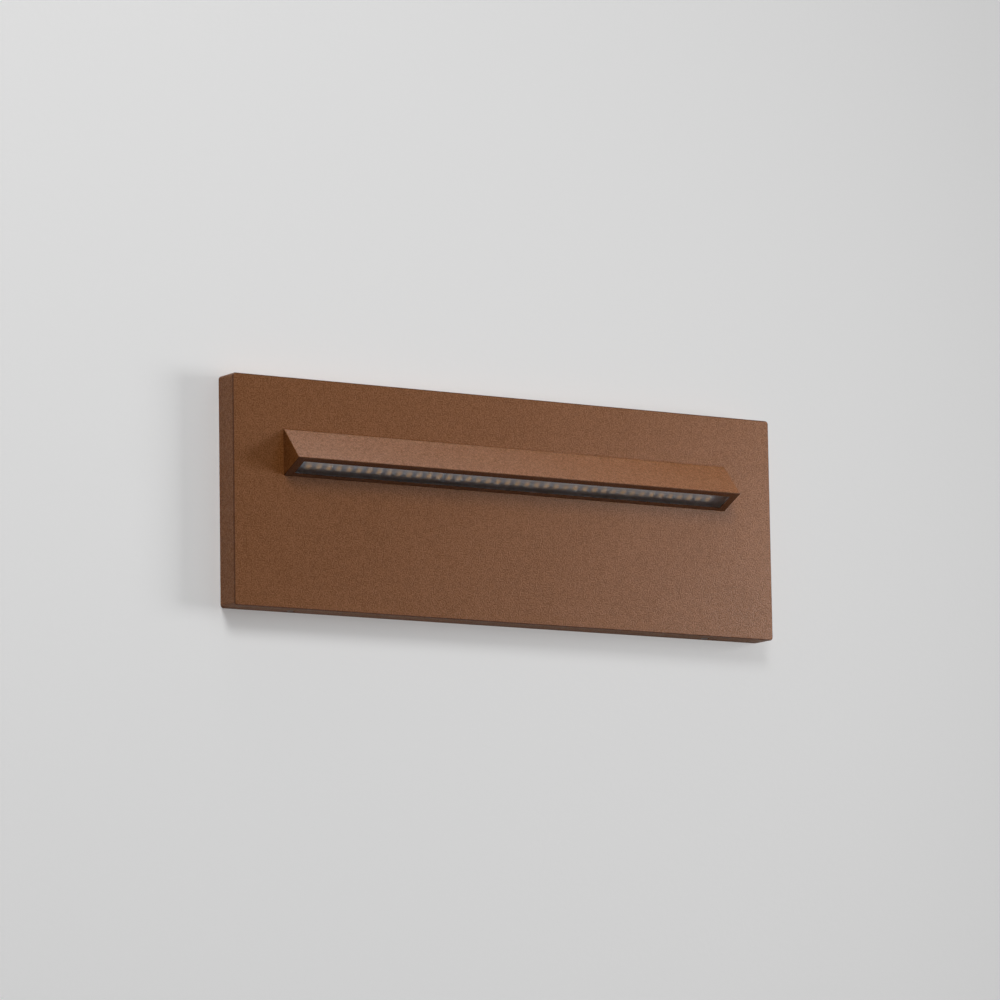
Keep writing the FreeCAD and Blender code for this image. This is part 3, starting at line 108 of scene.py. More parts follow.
# %% One output of a shader node
class Wire:
    """An output of a node, on which Python's signs add Math nodes."""

    def __init__(self, finish, socket):
        self.finish = finish
        self.socket = socket

    def sign(self, operation, first, second):
        return self.finish.node("Math", {0: first, 1: second}, operation=operation)

    def __add__(self, other):
        return self.sign("ADD", self, other)

    def __radd__(self, other):
        return self.sign("ADD", other, self)

    def __sub__(self, other):
        return self.sign("SUBTRACT", self, other)

    def __rsub__(self, other):
        return self.sign("SUBTRACT", other, self)

    def __mul__(self, other):
        return self.sign("MULTIPLY", self, other)

    def __rmul__(self, other):
        return self.sign("MULTIPLY", other, self)

    def __gt__(self, other):
        return self.sign("GREATER_THAN", self, other)

    def __lt__(self, other):
        return self.sign("LESS_THAN", self, other)


# %% [markdown]
# ## One builder for every finish
# Real finishes are never one flat colour: a coat has grain, a casting is mottled, a moulding has
# the texture of its tool. All of these patterns read the object's own coordinates in metres, so a
# grain of six tenths of a millimetre is written as that size, and it stays on its piece when the
# piece moves. The patterns could be painted as pictures instead, but each piece would then need
# its surface unwrapped first.


# %% The builder
BLACK = (0.0, 0.0, 0.0)


def rgba(colour):
    """A colour with its alpha."""
    return (*colour[:3], 1.0)


def shade(colour, factor):
    """A colour made lighter or darker."""
    return tuple(min(channel * factor, 1.0) for channel in colour[:3])


class Finish:
    """A material built around one Principled shader."""

    def __init__(self, name, colour, roughness, metallic=0.0, **plain):
        self.name = name
        self.colour = colour
        self.material = bpy.data.materials.new(name)
        self.material.use_nodes = True
        self.material.diffuse_color = rgba(colour)
        self.tree = self.material.node_tree
        self.shader = self.tree.nodes["Principled BSDF"]
        self.plain({"Base Color": rgba(colour), "Roughness": roughness, "Metallic": metallic})
        self.plain({key.replace("_", " "): value for key, value in plain.items()})
        self.place = self.node("TexCoord", out="Object")

    def plain(self, values):
        """Sets numbers and colours that are the same all over."""
        for name, value in values.items():
            self.shader.inputs[name].default_value = value

    def feed(self, socket, value):
        """Links an output to a socket, or writes a plain value in it."""
        if isinstance(value, Wire):
            self.tree.links.new(value.socket, socket)
        else:
            socket.default_value = value

    def drive(self, name, value):
        """Feeds one socket of the shader."""
        self.feed(self.shader.inputs[name], value)

    def node(self, kind, sockets=None, out=0, **settings):
        """Adds a node of a kind, sets it up, feeds its sockets and gives one of its outputs."""
        made = self.tree.nodes.new("ShaderNode" + kind)
        for key, value in settings.items():
            setattr(made, key, value)
        for key, value in (sockets or {}).items():
            self.feed(made.inputs[key], value)
        return Wire(self, made.outputs[out])

    def axis(self, name):
        """One of the object's coordinates, in metres."""
        return self.node("SeparateXYZ", {0: self.place}, out=name)

    def noise(self, size, detail=2.0, place=None):
        """Blotches about size metres across, from 0 to 1."""
        sockets = {"Vector": place or self.place, "Scale": 1 / size, "Detail": detail}
        return self.node("TexNoise", sockets)

    def cells(self, size):
        """Rounded cells about size metres across."""
        return self.node("TexVoronoi", {"Vector": self.place, "Scale": 1 / size}, out="Distance")

    def stretched(self, scale, turn=(0, 0, 0)):
        """The object's coordinates, turned, then stretched by a scale on each axis."""
        return self.node("Mapping", {"Vector": self.place, "Rotation": turn, "Scale": scale})

    def spread(self, value, low, high):
        """Stretches the part of a value between low and high over 0 to 1."""
        return self.node("MapRange", {"Value": value, "From Min": low, "From Max": high})

    def mixed(self, factor, dark, light):
        """A colour between two colours."""
        dark, light = (c if isinstance(c, Wire) else rgba(c) for c in (dark, light))
        return self.node("Mix", {0: factor, 6: dark, 7: light}, out=2, data_type="RGBA")

    def mottle(self, factor, dark, light):
        """Lets the base colour run from a darker to a lighter shade of the finish's own colour."""
        shades = shade(self.colour, dark), shade(self.colour, light)
        self.drive("Base Color", self.mixed(factor, *shades))

    def bump(self, height, depth):
        """Raises the surface by a height of 0 to 1 times depth metres, not moving its mesh."""
        self.drive("Normal", self.node("Bump", {"Height": height, "Distance": depth}, out="Normal"))
        return self


print("a finish has the methods", [name for name in vars(Finish) if not name.startswith("_")])

# %% [markdown]
# ## Where the finishes are kept
# The packed record names a material slot for each node, and a colour for each slot. A finish is
# filed under its slot as soon as it is made. Where nothing in the photograph says more, it takes
# the record's colour, so the dressed part and the record agree.

# %% Where the finishes are kept
RECORD_COLOUR = {material["slot"]: material["base_color"] for material in record["materials"]}
FINISHES = {}


def keep(*finishes):
    """Files finishes under their slots and tells how large their nets are."""
    for finish in finishes:
        FINISHES[finish.name] = finish
        print(finish.name, "has", len(finish.tree.nodes), "nodes")


print(len(RECORD_COLOUR), "slots in the record")

# %% [markdown]
# ## Powder coat
# The plate and the hood are die cast and coated with a fine-textured rust-brown powder. The
# powder melts into grains of about six tenths of a millimetre, which catch the light one by one.
# A picture of the coat could be pasted on, but it would stretch over the edges. Two sizes of
# noise give the grain, and they drive colour, gloss and height together, as on the real coat.
# Half of the grain's tone comes from the clear top of the coat: that part is grey, and with the
# orange of the colour it gives the coat's neutral sparkle. The plate's side faces are painted a
# little lighter, as painted light, and the plate's front edge and the hood's underside are painted
# dark, as painted shade.


# %% Powder coat
PLATE_HALF_X, PLATE_HALF_Z, PLATE_FRONT = 140 * MM, 50 * MM, 12 * MM
HOOD_CORNER_Y, HOOD_CORNER_Z = 24.6 * MM, 13.4 * MM
SLOPE_COS, SLOPE_SIN = 0.8974, 0.4416
GRAIN, CLUMP, CLOUD = 0.60 * MM, 1.6 * MM, 45 * MM
# Widths of a hair, and of the painted shade bands on the front edge and under the hood.
HAIR, SHADE_LINE_WIDTH, SHADE_UNDER_DEPTH = 0.05 * MM, 0.45 * MM, 0.3 * MM
# The mean coat colour, and a darker one that is painted shade.
COAT_MEAN, COAT_PAINTED_SHADE = (0.215, 0.068, 0.019), (0.110, 0.032, 0.005)
COAT_DARK, COAT_LIGHT = (0.160, 0.050, 0.005), (0.276, 0.095, 0.021)
# Painted light: the side faces are made this much lighter.
SIDE_PAINTED_LIGHT = 1.12


def beyond(finish, half_x, half_z):
    """1 where the plate is further from its middle than a half width or a half height."""
    x, z = (finish.node("Math", {0: finish.axis(axis)}, operation="ABSOLUTE") for axis in "XZ")
    return ((x > half_x) + (z > half_z)) > 0.5


def from_corner(finish):
    """How far a place is behind and above the front corner of the hood's underside."""
    return finish.axis("Y") + HOOD_CORNER_Y, finish.axis("Z") - HOOD_CORNER_Z


def along_slot(finish):
    """Distance along the hood's sloping underside from its front corner, in metres."""
    behind, above = from_corner(finish)
    return behind * SLOPE_COS - above * SLOPE_SIN


def into_hood(finish):
    """Distance up from the hood's sloping underside, in metres."""
    behind, above = from_corner(finish)
    return behind * SLOPE_SIN + above * SLOPE_COS


def powder_coat():
    finish = Finish("powder_coat", COAT_MEAN, 0.42, Specular_IOR_Level=0.30, Coat_Roughness=0.40)
    grain = finish.noise(GRAIN, 2.0)
    height = grain * 0.8 + finish.noise(CLUMP, 2.0) * 0.2
    tone = finish.spread(height + finish.noise(CLOUD, 1.0) * 0.06, 0.41, 0.65)
    coat = finish.mixed(tone, COAT_DARK, COAT_LIGHT)
    # Painted light: the side faces get a lighter copy of the coat's colours.
    painted_light_sides = finish.mixed(tone, *(shade(c, SIDE_PAINTED_LIGHT) for c in (COAT_DARK, COAT_LIGHT)))
    sides = beyond(finish, PLATE_HALF_X - HAIR, PLATE_HALF_Z - HAIR)
    rim = beyond(finish, PLATE_HALF_X - SHADE_LINE_WIDTH, PLATE_HALF_Z - SHADE_LINE_WIDTH)
    rim = rim * (finish.axis("Y") < SHADE_LINE_WIDTH - PLATE_FRONT)
    underside = (into_hood(finish) < SHADE_UNDER_DEPTH) * (finish.axis("Y") < -PLATE_FRONT - HAIR)
    # Painted shade: the band along the front edge and the hood's underside turn dark.
    painted_shade = (rim + underside) > 0.5
    finish.drive("Base Color", finish.mixed(painted_shade, finish.mixed(sides, coat, painted_light_sides), COAT_PAINTED_SHADE))
    finish.drive("Roughness", 0.36 + grain * 0.12)
    finish.drive("Coat Weight", tone * 0.50)
    return finish.bump(height, 0.16 * MM)


keep(powder_coat())

# %% [markdown]
# ## Glass and the light board
# The diffuser is satin-etched glass: clear enough to show a row of dots, rough enough to blur
# them. Rough transmission on the shader does what the etching does. Only its rear edge gets
# painted shade: it is given a dark mirror for the deep shadow next to the plate, because the bare
# edge would throw back a bright line. Behind the glass lies a board with a white mask, and on the
# board sit small white packages with a drop of phosphor each. The mask is painted lighter and
# warmer round each diode, as a painted pool of light, and a faint painted glow lifts the mask and
# the phosphor to the tone that they have in the photograph, where light comes in from all sides.


# %% Glass, board and diodes
# The glass's tint, and a dark colour that is painted shade on its rear edge.
GLASS_TINT, REAR_PAINTED_SHADE = (0.88, 0.94, 1.0), (0.07, 0.09, 0.12)
# The mask's colour between diodes, and a lighter, warmer one round them that is painted light.
MASK_BETWEEN, MASK_PAINTED_LIGHT = (0.48, 0.53, 0.58), (0.95, 0.85, 0.76)
# Colours of the painted glow, between diodes and round them.
GLOW_BETWEEN, GLOW_AT_DIODE = (0.16, 0.21, 0.30), (1.0, 0.76, 0.64)
BARE_BOARD = (0.03, 0.035, 0.04)
MASK_END, PANE_REAR, BARE_START = 11.8 * MM, 11.9 * MM, 12.4 * MM
DIODE_PITCH = 5.08 * MM


def frosted_glass():
    finish = Finish("frosted_glass", GLASS_TINT, 0.29, Transmission_Weight=0.96, IOR=1.45)
    # Painted shade: past the pane's rear the glass turns into a dark mirror.
    shaded_rear = along_slot(finish) > PANE_REAR
    finish.drive("Base Color", finish.mixed(shaded_rear, GLASS_TINT, REAR_PAINTED_SHADE))
    finish.drive("Metallic", shaded_rear)
    return finish.bump(finish.noise(0.25 * MM, 2.0), 0.01 * MM)


def board_white():
    # The board has a painted glow: its emission stands in for light falling on it.
    finish = Finish("board_white", (0.80, 0.81, 0.79), 0.34, Emission_Strength=0.13)
    bare = finish.spread(along_slot(finish), MASK_END, BARE_START)
    turn = (finish.axis("X") - DIODE_PITCH / 2) * (2 * math.pi / DIODE_PITCH)
    near_diode = finish.node("Math", {0: turn}, operation="COSINE") * 0.5 + 0.5
    # Painted light: the mask turns lighter and warmer round each diode.
    mask_and_painted_light = finish.mixed(near_diode, MASK_BETWEEN, MASK_PAINTED_LIGHT)
    glow = finish.mixed(near_diode, GLOW_BETWEEN, GLOW_AT_DIODE)
    finish.drive("Base Color", finish.mixed(bare, mask_and_painted_light, BARE_BOARD))
    finish.drive("Emission Color", finish.mixed(bare, glow, BLACK))
    return finish.bump(finish.noise(0.3 * MM), 0.02 * MM)


def phosphor():
    # The phosphor has a painted glow: its emission stands in for light falling on it.
    finish = Finish("phosphor", (0.86, 0.42, 0.10), 0.22, Coat_Weight=0.6, Emission_Strength=0.35)
    finish.plain({"Emission Color": rgba((0.95, 0.55, 0.30))})
    grain = finish.noise(0.12 * MM, 3.0)
    finish.drive("Base Color", finish.mixed(grain, (0.80, 0.34, 0.06), (0.92, 0.52, 0.16)))
    return finish.bump(grain, 0.01 * MM)


keep(frosted_glass(), board_white(), phosphor())

# %% [markdown]
# ## Metals
# A casting that was shot blasted is dull and mottled. A turned screw has fine rings round its
# axis, and a rolled sheet has fine lines along it. Lines could be drawn with a wave, but a wave
# is too regular: noise squeezed hard along one direction gives lines that start and stop.


# %% Metals
def cast_metal(slot):
    finish = Finish(slot, RECORD_COLOUR[slot], 0.46, 1.0)
    pits = finish.noise(0.55 * MM, 3.0)
    patches = finish.noise(14 * MM, 2.0)
    finish.mottle(finish.spread(pits * 0.6 + patches * 0.4, 0.3, 0.7), 0.80, 1.12)
    finish.drive("Roughness", 0.38 + pits * 0.22)
    return finish.bump(pits, 0.08 * MM)


def lined_metal(slot, roughness, along=(1.0, 60.0, 60.0)):
    """Metal with fine lines, long where the scale is low."""
    finish = Finish(slot, RECORD_COLOUR[slot], roughness, 1.0)
    lines = finish.noise(4 * MM, 2.0, finish.stretched(along))
    finish.mottle(lines, 0.86, 1.10)
    finish.drive("Roughness", roughness - 0.06 + lines * 0.14)
    return finish.bump(lines, 0.01 * MM)


keep(cast_metal("die_cast"), lined_metal("stainless", 0.30, (60.0, 60.0, 1.0)),
     lined_metal("bent_aluminium", 0.36), lined_metal("brass", 0.32))

# %% [markdown]
# ## Mouldings, rubber and foam
# Moulded plastic carries the fine spark texture of its tool and faint flow marks. Rubber is
# duller and has a bloom. Foam is cut through its cells, so cells of a millimetre show. All three
# could share one noise, but then the eye would take them for one material.


# %% Mouldings, rubber and foam
def moulding(slot, roughness=0.48, grain_size=0.35 * MM, depth=0.03 * MM):
    finish = Finish(slot, RECORD_COLOUR[slot], roughness)
    grain = finish.noise(grain_size, 2.0)
    flow = finish.noise(20 * MM, 1.0, finish.stretched((1.0, 1.0, 3.0)))
    finish.mottle(grain * 0.35 + flow * 0.65, 0.86, 1.14)
    finish.drive("Roughness", roughness - 0.05 + grain * 0.14)
    return finish.bump(grain, depth)


def rubber(slot):
    finish = Finish(slot, RECORD_COLOUR[slot], 0.72)
    bloom = finish.noise(5 * MM, 3.0)
    finish.mottle(bloom, 0.8, 1.5)
    finish.drive("Roughness", 0.62 + bloom * 0.2)
    return finish.bump(finish.noise(0.4 * MM), 0.03 * MM)


def foam():
    finish = Finish("foam", (0.035, 0.035, 0.037), 0.9)
    cell = finish.cells(0.9 * MM)
    finish.drive("Base Color", finish.mixed(cell, (0.012, 0.012, 0.013), (0.065, 0.065, 0.068)))
    return finish.bump(cell, 0.25 * MM)


keep(foam(), moulding("led_body", 0.40, 0.2 * MM, 0.01 * MM),
     moulding("box_polymer", 0.50, 0.5 * MM, 0.05 * MM))
keep(*(moulding(slot) for slot in ("driver_white", "terminal_green", "gland_polymer",
                                   "terminal_grey", "conduit_grey", "lever_brown",
                                   "lever_blue", "lever_green")))
keep(*(rubber(slot) for slot in ("silicone", "heat_pad", "membrane_rubber")))

# %% [markdown]
# ## Driver, board and leads
# These parts lie inside the housing. They are seen only when somebody opens it, yet each one
# still gets the pattern that tells what it is: turns of copper on the choke, tracks under the
# green mask, the grain of pressed ferrite, and the glossy skin of leads and capacitors.

# %% Driver, board and leads
TURN_SCALE = 260.0  # turns 1.2 mm apart
TRACK_SCALE = 120.0  # tracks 2.1 mm apart


def copper_winding():
    finish = Finish("copper_winding", (0.55, 0.24, 0.11), 0.34, 1.0)
    turns = finish.node("TexWave", {"Vector": finish.place, "Scale": TURN_SCALE},
                        bands_direction="X")
    finish.drive("Base Color", finish.mixed(turns, (0.22, 0.08, 0.03), (0.66, 0.30, 0.14)))
    return finish.bump(turns, 0.12 * MM)


def circuit_green():
    finish = Finish("circuit_green", (0.03, 0.16, 0.07), 0.3)
    flat = finish.stretched((1, 1, 1), (math.pi / 2, 0, 0))
    tracks = finish.node("TexBrick", {"Vector": flat, "Scale": TRACK_SCALE, "Mortar Size": 0.06},
                         out="Fac")
    finish.drive("Base Color", finish.mixed(tracks, (0.015, 0.11, 0.045), (0.05, 0.23, 0.10)))
    return finish.bump(tracks, 0.03 * MM)


def ferrite():
    finish = Finish("ferrite", (0.06, 0.06, 0.065), 0.55)
    grain = finish.noise(0.3 * MM, 3.0)
    finish.drive("Base Color", finish.mixed(grain, (0.035, 0.035, 0.04), (0.09, 0.09, 0.095)))
    return finish.bump(grain, 0.04 * MM)


def sleeve(slot):
    """Glossy skin of a lead or a capacitor."""
    finish = Finish(slot, RECORD_COLOUR[slot], 0.28)
    ripple = finish.noise(2.5 * MM, 1.0)
    finish.mottle(ripple, 0.8, 1.2)
    finish.drive("Roughness", 0.23 + ripple * 0.12)
    return finish.bump(ripple, 0.03 * MM)


keep(copper_winding(), circuit_green(), ferrite())
keep(*(sleeve(slot) for slot in ("capacitor_sleeve", "insulation_red", "insulation_black")))

# %% [markdown]
# ## A finish on every node
# Each packed node now gets the finish of its slot. Doing this in one loop, from the record, makes
# sure that none is left out.

# %% A finish on every node
for node, packed in frame["nodes"].items():
    packed.data.materials.clear()
    packed.data.materials.append(FINISHES[slot_of[node]].material)
print(len(FINISHES), "finishes; slots without one:", set(RECORD_COLOUR) - set(FINISHES))

# %% [markdown]
# ## How a piece is made
# Each new piece starts as a bmesh, which is Blender's editable mesh. It gets its operators, and
# then it becomes an object that rides on one body of the model. Its place is in its mesh, so the
# object itself stays at the origin, as the packed nodes do.


# %% From a bmesh to a piece
def piece(name, bm, slot, body, replaces, crease=50):
    """Makes the finished piece: it rides on its body and is shaded so that its flats stay flat."""
    bmesh.ops.recalc_face_normals(bm, faces=bm.faces)
    mesh = bpy.data.meshes.new(name)
    bm.to_mesh(mesh)
    bm.free()
    mesh.materials.append(FINISHES[slot].material)
    mesh.shade_smooth()
    mesh.set_sharp_from_angle(angle=math.radians(crease))
    made = bpy.data.objects.new(name, mesh)
    bpy.context.scene.collection.objects.link(made)
    flats = made.modifiers.new("flats", "WEIGHTED_NORMAL")
    flats.keep_sharp = True
    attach(made, body)
    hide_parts(*replaces)
    print(f"{name}: {len(mesh.polygons)} faces on {body}")


def bevelled(bm, edges, width, clamp=False):
    """Rounds edges by a width in millimetres, in two steps."""
    bmesh.ops.bevel(bm, geom=edges, offset=width * MM, offset_type="OFFSET", segments=2,
                    profile=0.5, affect="EDGES", clamp_overlap=clamp, material=-1)


# %% [markdown]
# ## Softened edges
# No moulded or cast edge is perfectly sharp: a quarter of a millimetre of rounding catches a thin
# line of light, and it tells the eye how large the thing is. A Bevel modifier would round every
# edge alike. Here a copy of the packed node is merged, its flat faces are joined up, and only its
# real corners are rounded, in groups that each get the width that they have room for.


# %% Softened copies of packed nodes
MERGE_WITHIN, FLAT_WITHIN = 0.002 * MM, math.radians(0.5)
ANY_CORNER, SQUARE_CORNER = math.radians(25), math.radians(50)


def merged_copy(node):
    """A bmesh of a packed node with its loose triangles joined into flat faces."""
    bm = bmesh.new()
    bm.from_mesh(frame["nodes"][node].data)
    bmesh.ops.remove_doubles(bm, verts=bm.verts, dist=MERGE_WITHIN)
    bmesh.ops.dissolve_limit(bm, angle_limit=FLAT_WITHIN, verts=bm.verts, edges=bm.edges)
    return bm


def corners(bm, least, choose):
    """The edges that turn outwards by more than an angle and whose middle passes a test."""
    found = []
    for edge in bm.edges:
        if len(edge.link_faces) == 2 and edge.calc_face_angle_signed(0.0) > least:
            if choose((edge.verts[0].co + edge.verts[1].co) / 2 / MM):
                found.append(edge)
    return found


def softened(node, least, groups, clamp=False):
    """Replaces a packed node by its copy, each group of its corners rounded by its own width."""
    bm = merged_copy(node)
    for width, choose in groups:
        bevelled(bm, corners(bm, least, choose), width, clamp)
    piece("soft_" + node, bm, slot_of[node], body_of[node], [node])


# %% [markdown]
# ## Turned shapes
# Screws, nuts, rings and sockets are round about an axis. Half of their section is drawn as a
# chain of points, each with a radius and a place along the axis, and spun once round. A cylinder
# with loop cuts would also do, but a drawn section is how the turner's drawing gives it.


# %% Turned shapes
def turned(section, centre, axis, steps, bm=None):
    """Spins a closed section of (radius, along) points, in millimetres, about an axis."""
    bm = bm or bmesh.new()
    axis = Vector(axis).normalized()
    across = axis.orthogonal().normalized()
    centre = Vector(centre) * MM
    verts = [bm.verts.new(centre + across * radius * MM + axis * along * MM)
             for radius, along in section]
    edges = [bm.edges.new(pair) for pair in zip(verts, verts[1:] + verts[:1])]
    if section[0][0] == 0 and section[-1][0] == 0:
        bm.edges.remove(edges.pop())
    bmesh.ops.spin(bm, geom=verts + edges, cent=centre, axis=axis, angle=2 * math.pi,
                   steps=steps, use_merge=True)
    bmesh.ops.remove_doubles(bm, verts=bm.verts, dist=0.001 * MM)
    return bm


def hexed(verts, centre, axis, flats):
    """Pushes round vertices in to a hexagon with a size across its flats, in millimetres."""
    axis = Vector(axis).normalized()
    across = axis.orthogonal().normalized()
    other = axis.cross(across)
    centre = Vector(centre) * MM
    for vert in verts:
        arm = vert.co - centre
        along = axis * arm.dot(axis)
        arm -= along
        turn = math.atan2(arm.dot(other), arm.dot(across)) % (math.pi / 3) - math.pi / 6
        limit = flats / 2 * MM / math.cos(turn)
        if arm.length > limit:
            vert.co = centre + along + arm * (limit / arm.length)


def thread(radius, depth, pitch, start, end):
    """The ridges of a thread as section points from one end to the other."""
    points = []
    count = int(abs(end - start) / pitch)
    step = (end - start) / count
    for i in range(count):
        low = start + step * i
        points += [(radius - depth, low + 0.12 * step), (radius, low + 0.46 * step),
                   (radius, low + 0.58 * step), (radius - depth, low + 0.92 * step)]
    return points


# %% [markdown]
# ## Front plate
# The plate is the large casting that everybody sees. The engineering model leaves a quarter of a
# millimetre round the hood, so that the plate slides off freely. On the real light the coat fills
# most of that gap, and no dark line shows. The window's rim is therefore drawn in, and its edge
# gets the same small rounding as the coat gives it. A new plate could be cut instead, but a copy
# keeps every other face where the engineering model has it.

# %% Front plate
WINDOW_CLOSE, WINDOW_ROUNDING = 0.19, 0.12
WINDOW_HALF_X, WINDOW_LOW, WINDOW_SILL, WINDOW_HIGH = 116 * MM, 6 * MM, 10 * MM, 28 * MM
hood_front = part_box("light_hood")[0].y
plate_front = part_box("front_plate")[0].y
bm = merged_copy("front_plate")
window = [v for v in bm.verts
          if abs(v.co.x) < WINDOW_HALF_X and WINDOW_LOW < v.co.z < WINDOW_HIGH]
for vert in window:
    vert.co.x -= math.copysign(WINDOW_CLOSE * MM, vert.co.x)
    vert.co.z += WINDOW_CLOSE * MM * (1 if vert.co.z < WINDOW_SILL else -1)
rim = [e for e in bm.edges
       if all(v in window and v.co.y < plate_front + 0.1 * MM for v in e.verts)]
print(len(window), "vertices and", len(rim), "front edges round the window")
print("the hood stands", round((plate_front - hood_front) / MM, 2), "mm out of the plate")
bevelled(bm, rim, WINDOW_ROUNDING)
piece("soft_front_plate", bm, slot_of["front_plate"], "plate", ["front_plate"])

# %% [markdown]
# ## Grub screws
# Two headless screws in the plate's lower edge hold the plate. They show as two bright flecks.
# Each is a turned thread with a chamfered tip, and a key socket pushed in at its end. The thread
# is a stack of ridges: at this size nobody can tell them from a true helix, and the mesh stays
# closed.

# %% Grub screws
SCREW_X, SCREW_Y, SCREW_FOOT = 108.0, -4.0, -49.9
SCREW_LENGTH, SOCKET_DEPTH, KEY_FLATS = 5.9, 2.2, 2.0
socket = [(0, SOCKET_DEPTH - 0.35), (0.9, SOCKET_DEPTH), (1.155, SOCKET_DEPTH - 0.1),
          (1.155, 0.12), (1.26, 0.0), (1.62, 0.0)]
tip = [(1.5, SCREW_LENGTH - 0.15), (1.25, SCREW_LENGTH), (0.0, SCREW_LENGTH)]
screw = socket + thread(2.0, 0.34, 0.7, 0.25, SCREW_LENGTH - 0.5) + tip
for hand, x in (("left", -SCREW_X), ("right", SCREW_X)):
    foot = Vector((x, SCREW_Y, SCREW_FOOT))
    bm = turned(screw, foot, (0, 0, 1), 48)
    inner = [v for v in bm.verts if (v.co.xy - foot.xy * MM).length < 1.2 * MM
             and v.co.z < (SCREW_FOOT + SOCKET_DEPTH + 0.05) * MM]
    hexed(inner, foot, (0, 0, 1), KEY_FLATS)
    node = "grub_screw_" + hand
    piece("threaded_" + node, bm, slot_of[node], body_of[node], [node])

# %% [markdown]
# ## Wall box
# The box that is walled in is one moulding of grey polymer. Its packed shape is right, but every
# corner is sharp. Its back, ribs, lugs and rim are rounded here one group after another, each by
# the width that its thickness allows. One width for all would swallow the thin ribs. The numbers
# are places in millimetres, just inside the edges that they pick out.

# %% Wall box
BACK_Y, BACK_HALF_X, BACK_HALF_Z = 64.4, 128.9, 37.9
RIB_TIPS_Z, LUGS_X, LUGS_Z = 42.2, 133.2, 16.0
RIM_Y, RIM_HALF_X, RIM_HALF_Z = 0.6, 128.0, 36.0
softened("recess_box", SQUARE_CORNER, [
    (0.7, lambda m: m.y > BACK_Y and (abs(m.x) > BACK_HALF_X or abs(m.z) > BACK_HALF_Z)),
    (0.35, lambda m: abs(m.z) > RIB_TIPS_Z),
    (0.35, lambda m: abs(m.x) > LUGS_X and abs(m.z) > LUGS_Z),
    (0.35, lambda m: m.y < RIM_Y and (abs(m.x) > RIM_HALF_X or abs(m.z) > RIM_HALF_Z)),
])

# %% [markdown]
# ## Conduit sockets and membranes
# A socket glued in each end of the box takes a conduit. It has a flange inside the box and a stop
# for the conduit. Behind the stop a rubber membrane keeps plaster out until a cable is pushed
# through; it is stepped like a target so that it tears at the right size. Both ends are turned
# into one mesh, because the engineering model has them as one node each.

# %% Conduit sockets and membranes
ENTRY_Y, ENTRY_Z = 47.7, 13.0
SOCKET = [(8.6, 118.3), (8.9, 118.0), (11.9, 118.0), (12.2, 118.3), (12.2, 128.5), (13.5, 128.5),
          (13.8, 128.8), (13.8, 130.2), (13.5, 130.5), (12.2, 130.5), (12.2, 132.6),
          (11.8, 133.0), (11.1, 133.0), (10.65, 132.4), (10.65, 130.3), (10.15, 129.7),
          (10.15, 120.0), (8.6, 120.0)]
RINGS = [point for radius in (2.0, 4.0, 6.0)
         for point in ((radius - 0.35, 116.95), (radius, 117.25), (radius + 0.35, 116.95))]
MEMBRANE = [(0.0, 116.85)] + RINGS + [
    (10.3, 116.8), (10.6, 117.0), (10.6, 117.8), (10.4, 117.98), (8.55, 117.98), (8.55, 119.8),
    (8.3, 119.98), (7.6, 119.98), (7.4, 119.8), (7.4, 118.1), (6.6, 117.7), (0.0, 117.6)]
sockets, membranes = bmesh.new(), bmesh.new()
for way in (-1, 1):
    centre, axis = (0.0, ENTRY_Y, -way * ENTRY_Z), (way, 0, 0)
    turned(SOCKET, centre, axis, 72, sockets)
    turned(MEMBRANE, centre, axis, 64, membranes)
piece("turned_conduit_adaptors", sockets, "conduit_grey", "wall_box", ["conduit_adaptors"])
piece("stepped_membranes", membranes, "membrane_rubber", "wall_box", ["entry_membranes"])

# %% [markdown]
# ## Cable gland
# The gland is a hexagon on a threaded shank, with a domed nut that squeezes a seal. Each is
# turned, and then the outer rings are pushed in to a hexagon. Where the hexagon cuts the turned
# cone, the curved chamfer of a real nut comes out by itself.

# %% Cable gland
GLAND_CENTRE, GLAND_AXIS, GLAND_STEPS, GLAND_CREASE = Vector((0.0, 20.0, 0.0)), (1, 0, 0), 72, 40


def gland_part(section, round_to, flats):
    """A turned part of the gland, a hexagon where it is wider than a radius in millimetres."""
    bm = turned(section, GLAND_CENTRE, GLAND_AXIS, GLAND_STEPS)
    wide = [v for v in bm.verts
            if math.hypot(v.co.y - GLAND_CENTRE.y * MM, v.co.z) > round_to * MM]
    hexed(wide, GLAND_CENTRE, GLAND_AXIS, flats)
    return bm


bm = gland_part([(5.0, -100.3), (5.3, -100.6), (7.2, -100.6), (8.6, -99.9), (9.6, -99.0),
                 (10.3, -98.2), (10.97, -97.2), (10.97, -90.4), (10.6, -89.9), (10.2, -89.6),
                 (7.9, -89.6), (7.65, -89.85), (7.65, -97.1), (5.0, -97.1)], 9.5, 19.0)
piece("domed_gland_nut", bm, slot_of["gland_nut"], "gland_cap", ["gland_nut"], GLAND_CREASE)

bm = gland_part([(5.2, -76.3), (5.5, -76.0), (7.3, -76.0)] + thread(7.95, 0.5, 1.5, -76.1, -84.7)
                + [(7.45, -85.0), (10.9, -85.0), (11.55, -85.5), (11.55, -88.5), (10.9, -89.0),
                   (7.1, -89.0)] + thread(7.55, 0.45, 1.5, -89.1, -95.8)
                + [(7.1, -96.0), (6.6, -96.0), (6.4, -95.8), (6.4, -89.0), (5.2, -89.0)],
                9.9, 20.0)
piece("threaded_gland_body", bm, slot_of["gland_body"], "light_unit", ["gland_body"],
      GLAND_CREASE)

bm = gland_part([(8.05, -81.2), (8.4, -81.48), (10.6, -81.48), (11.55, -80.9), (11.55, -78.1),
                 (10.6, -77.52), (8.4, -77.52), (8.05, -77.8)], 9.9, 20.0)
piece("turned_gland_locknut", bm, slot_of["gland_locknut"], "light_unit", ["gland_locknut"],
      GLAND_CREASE)

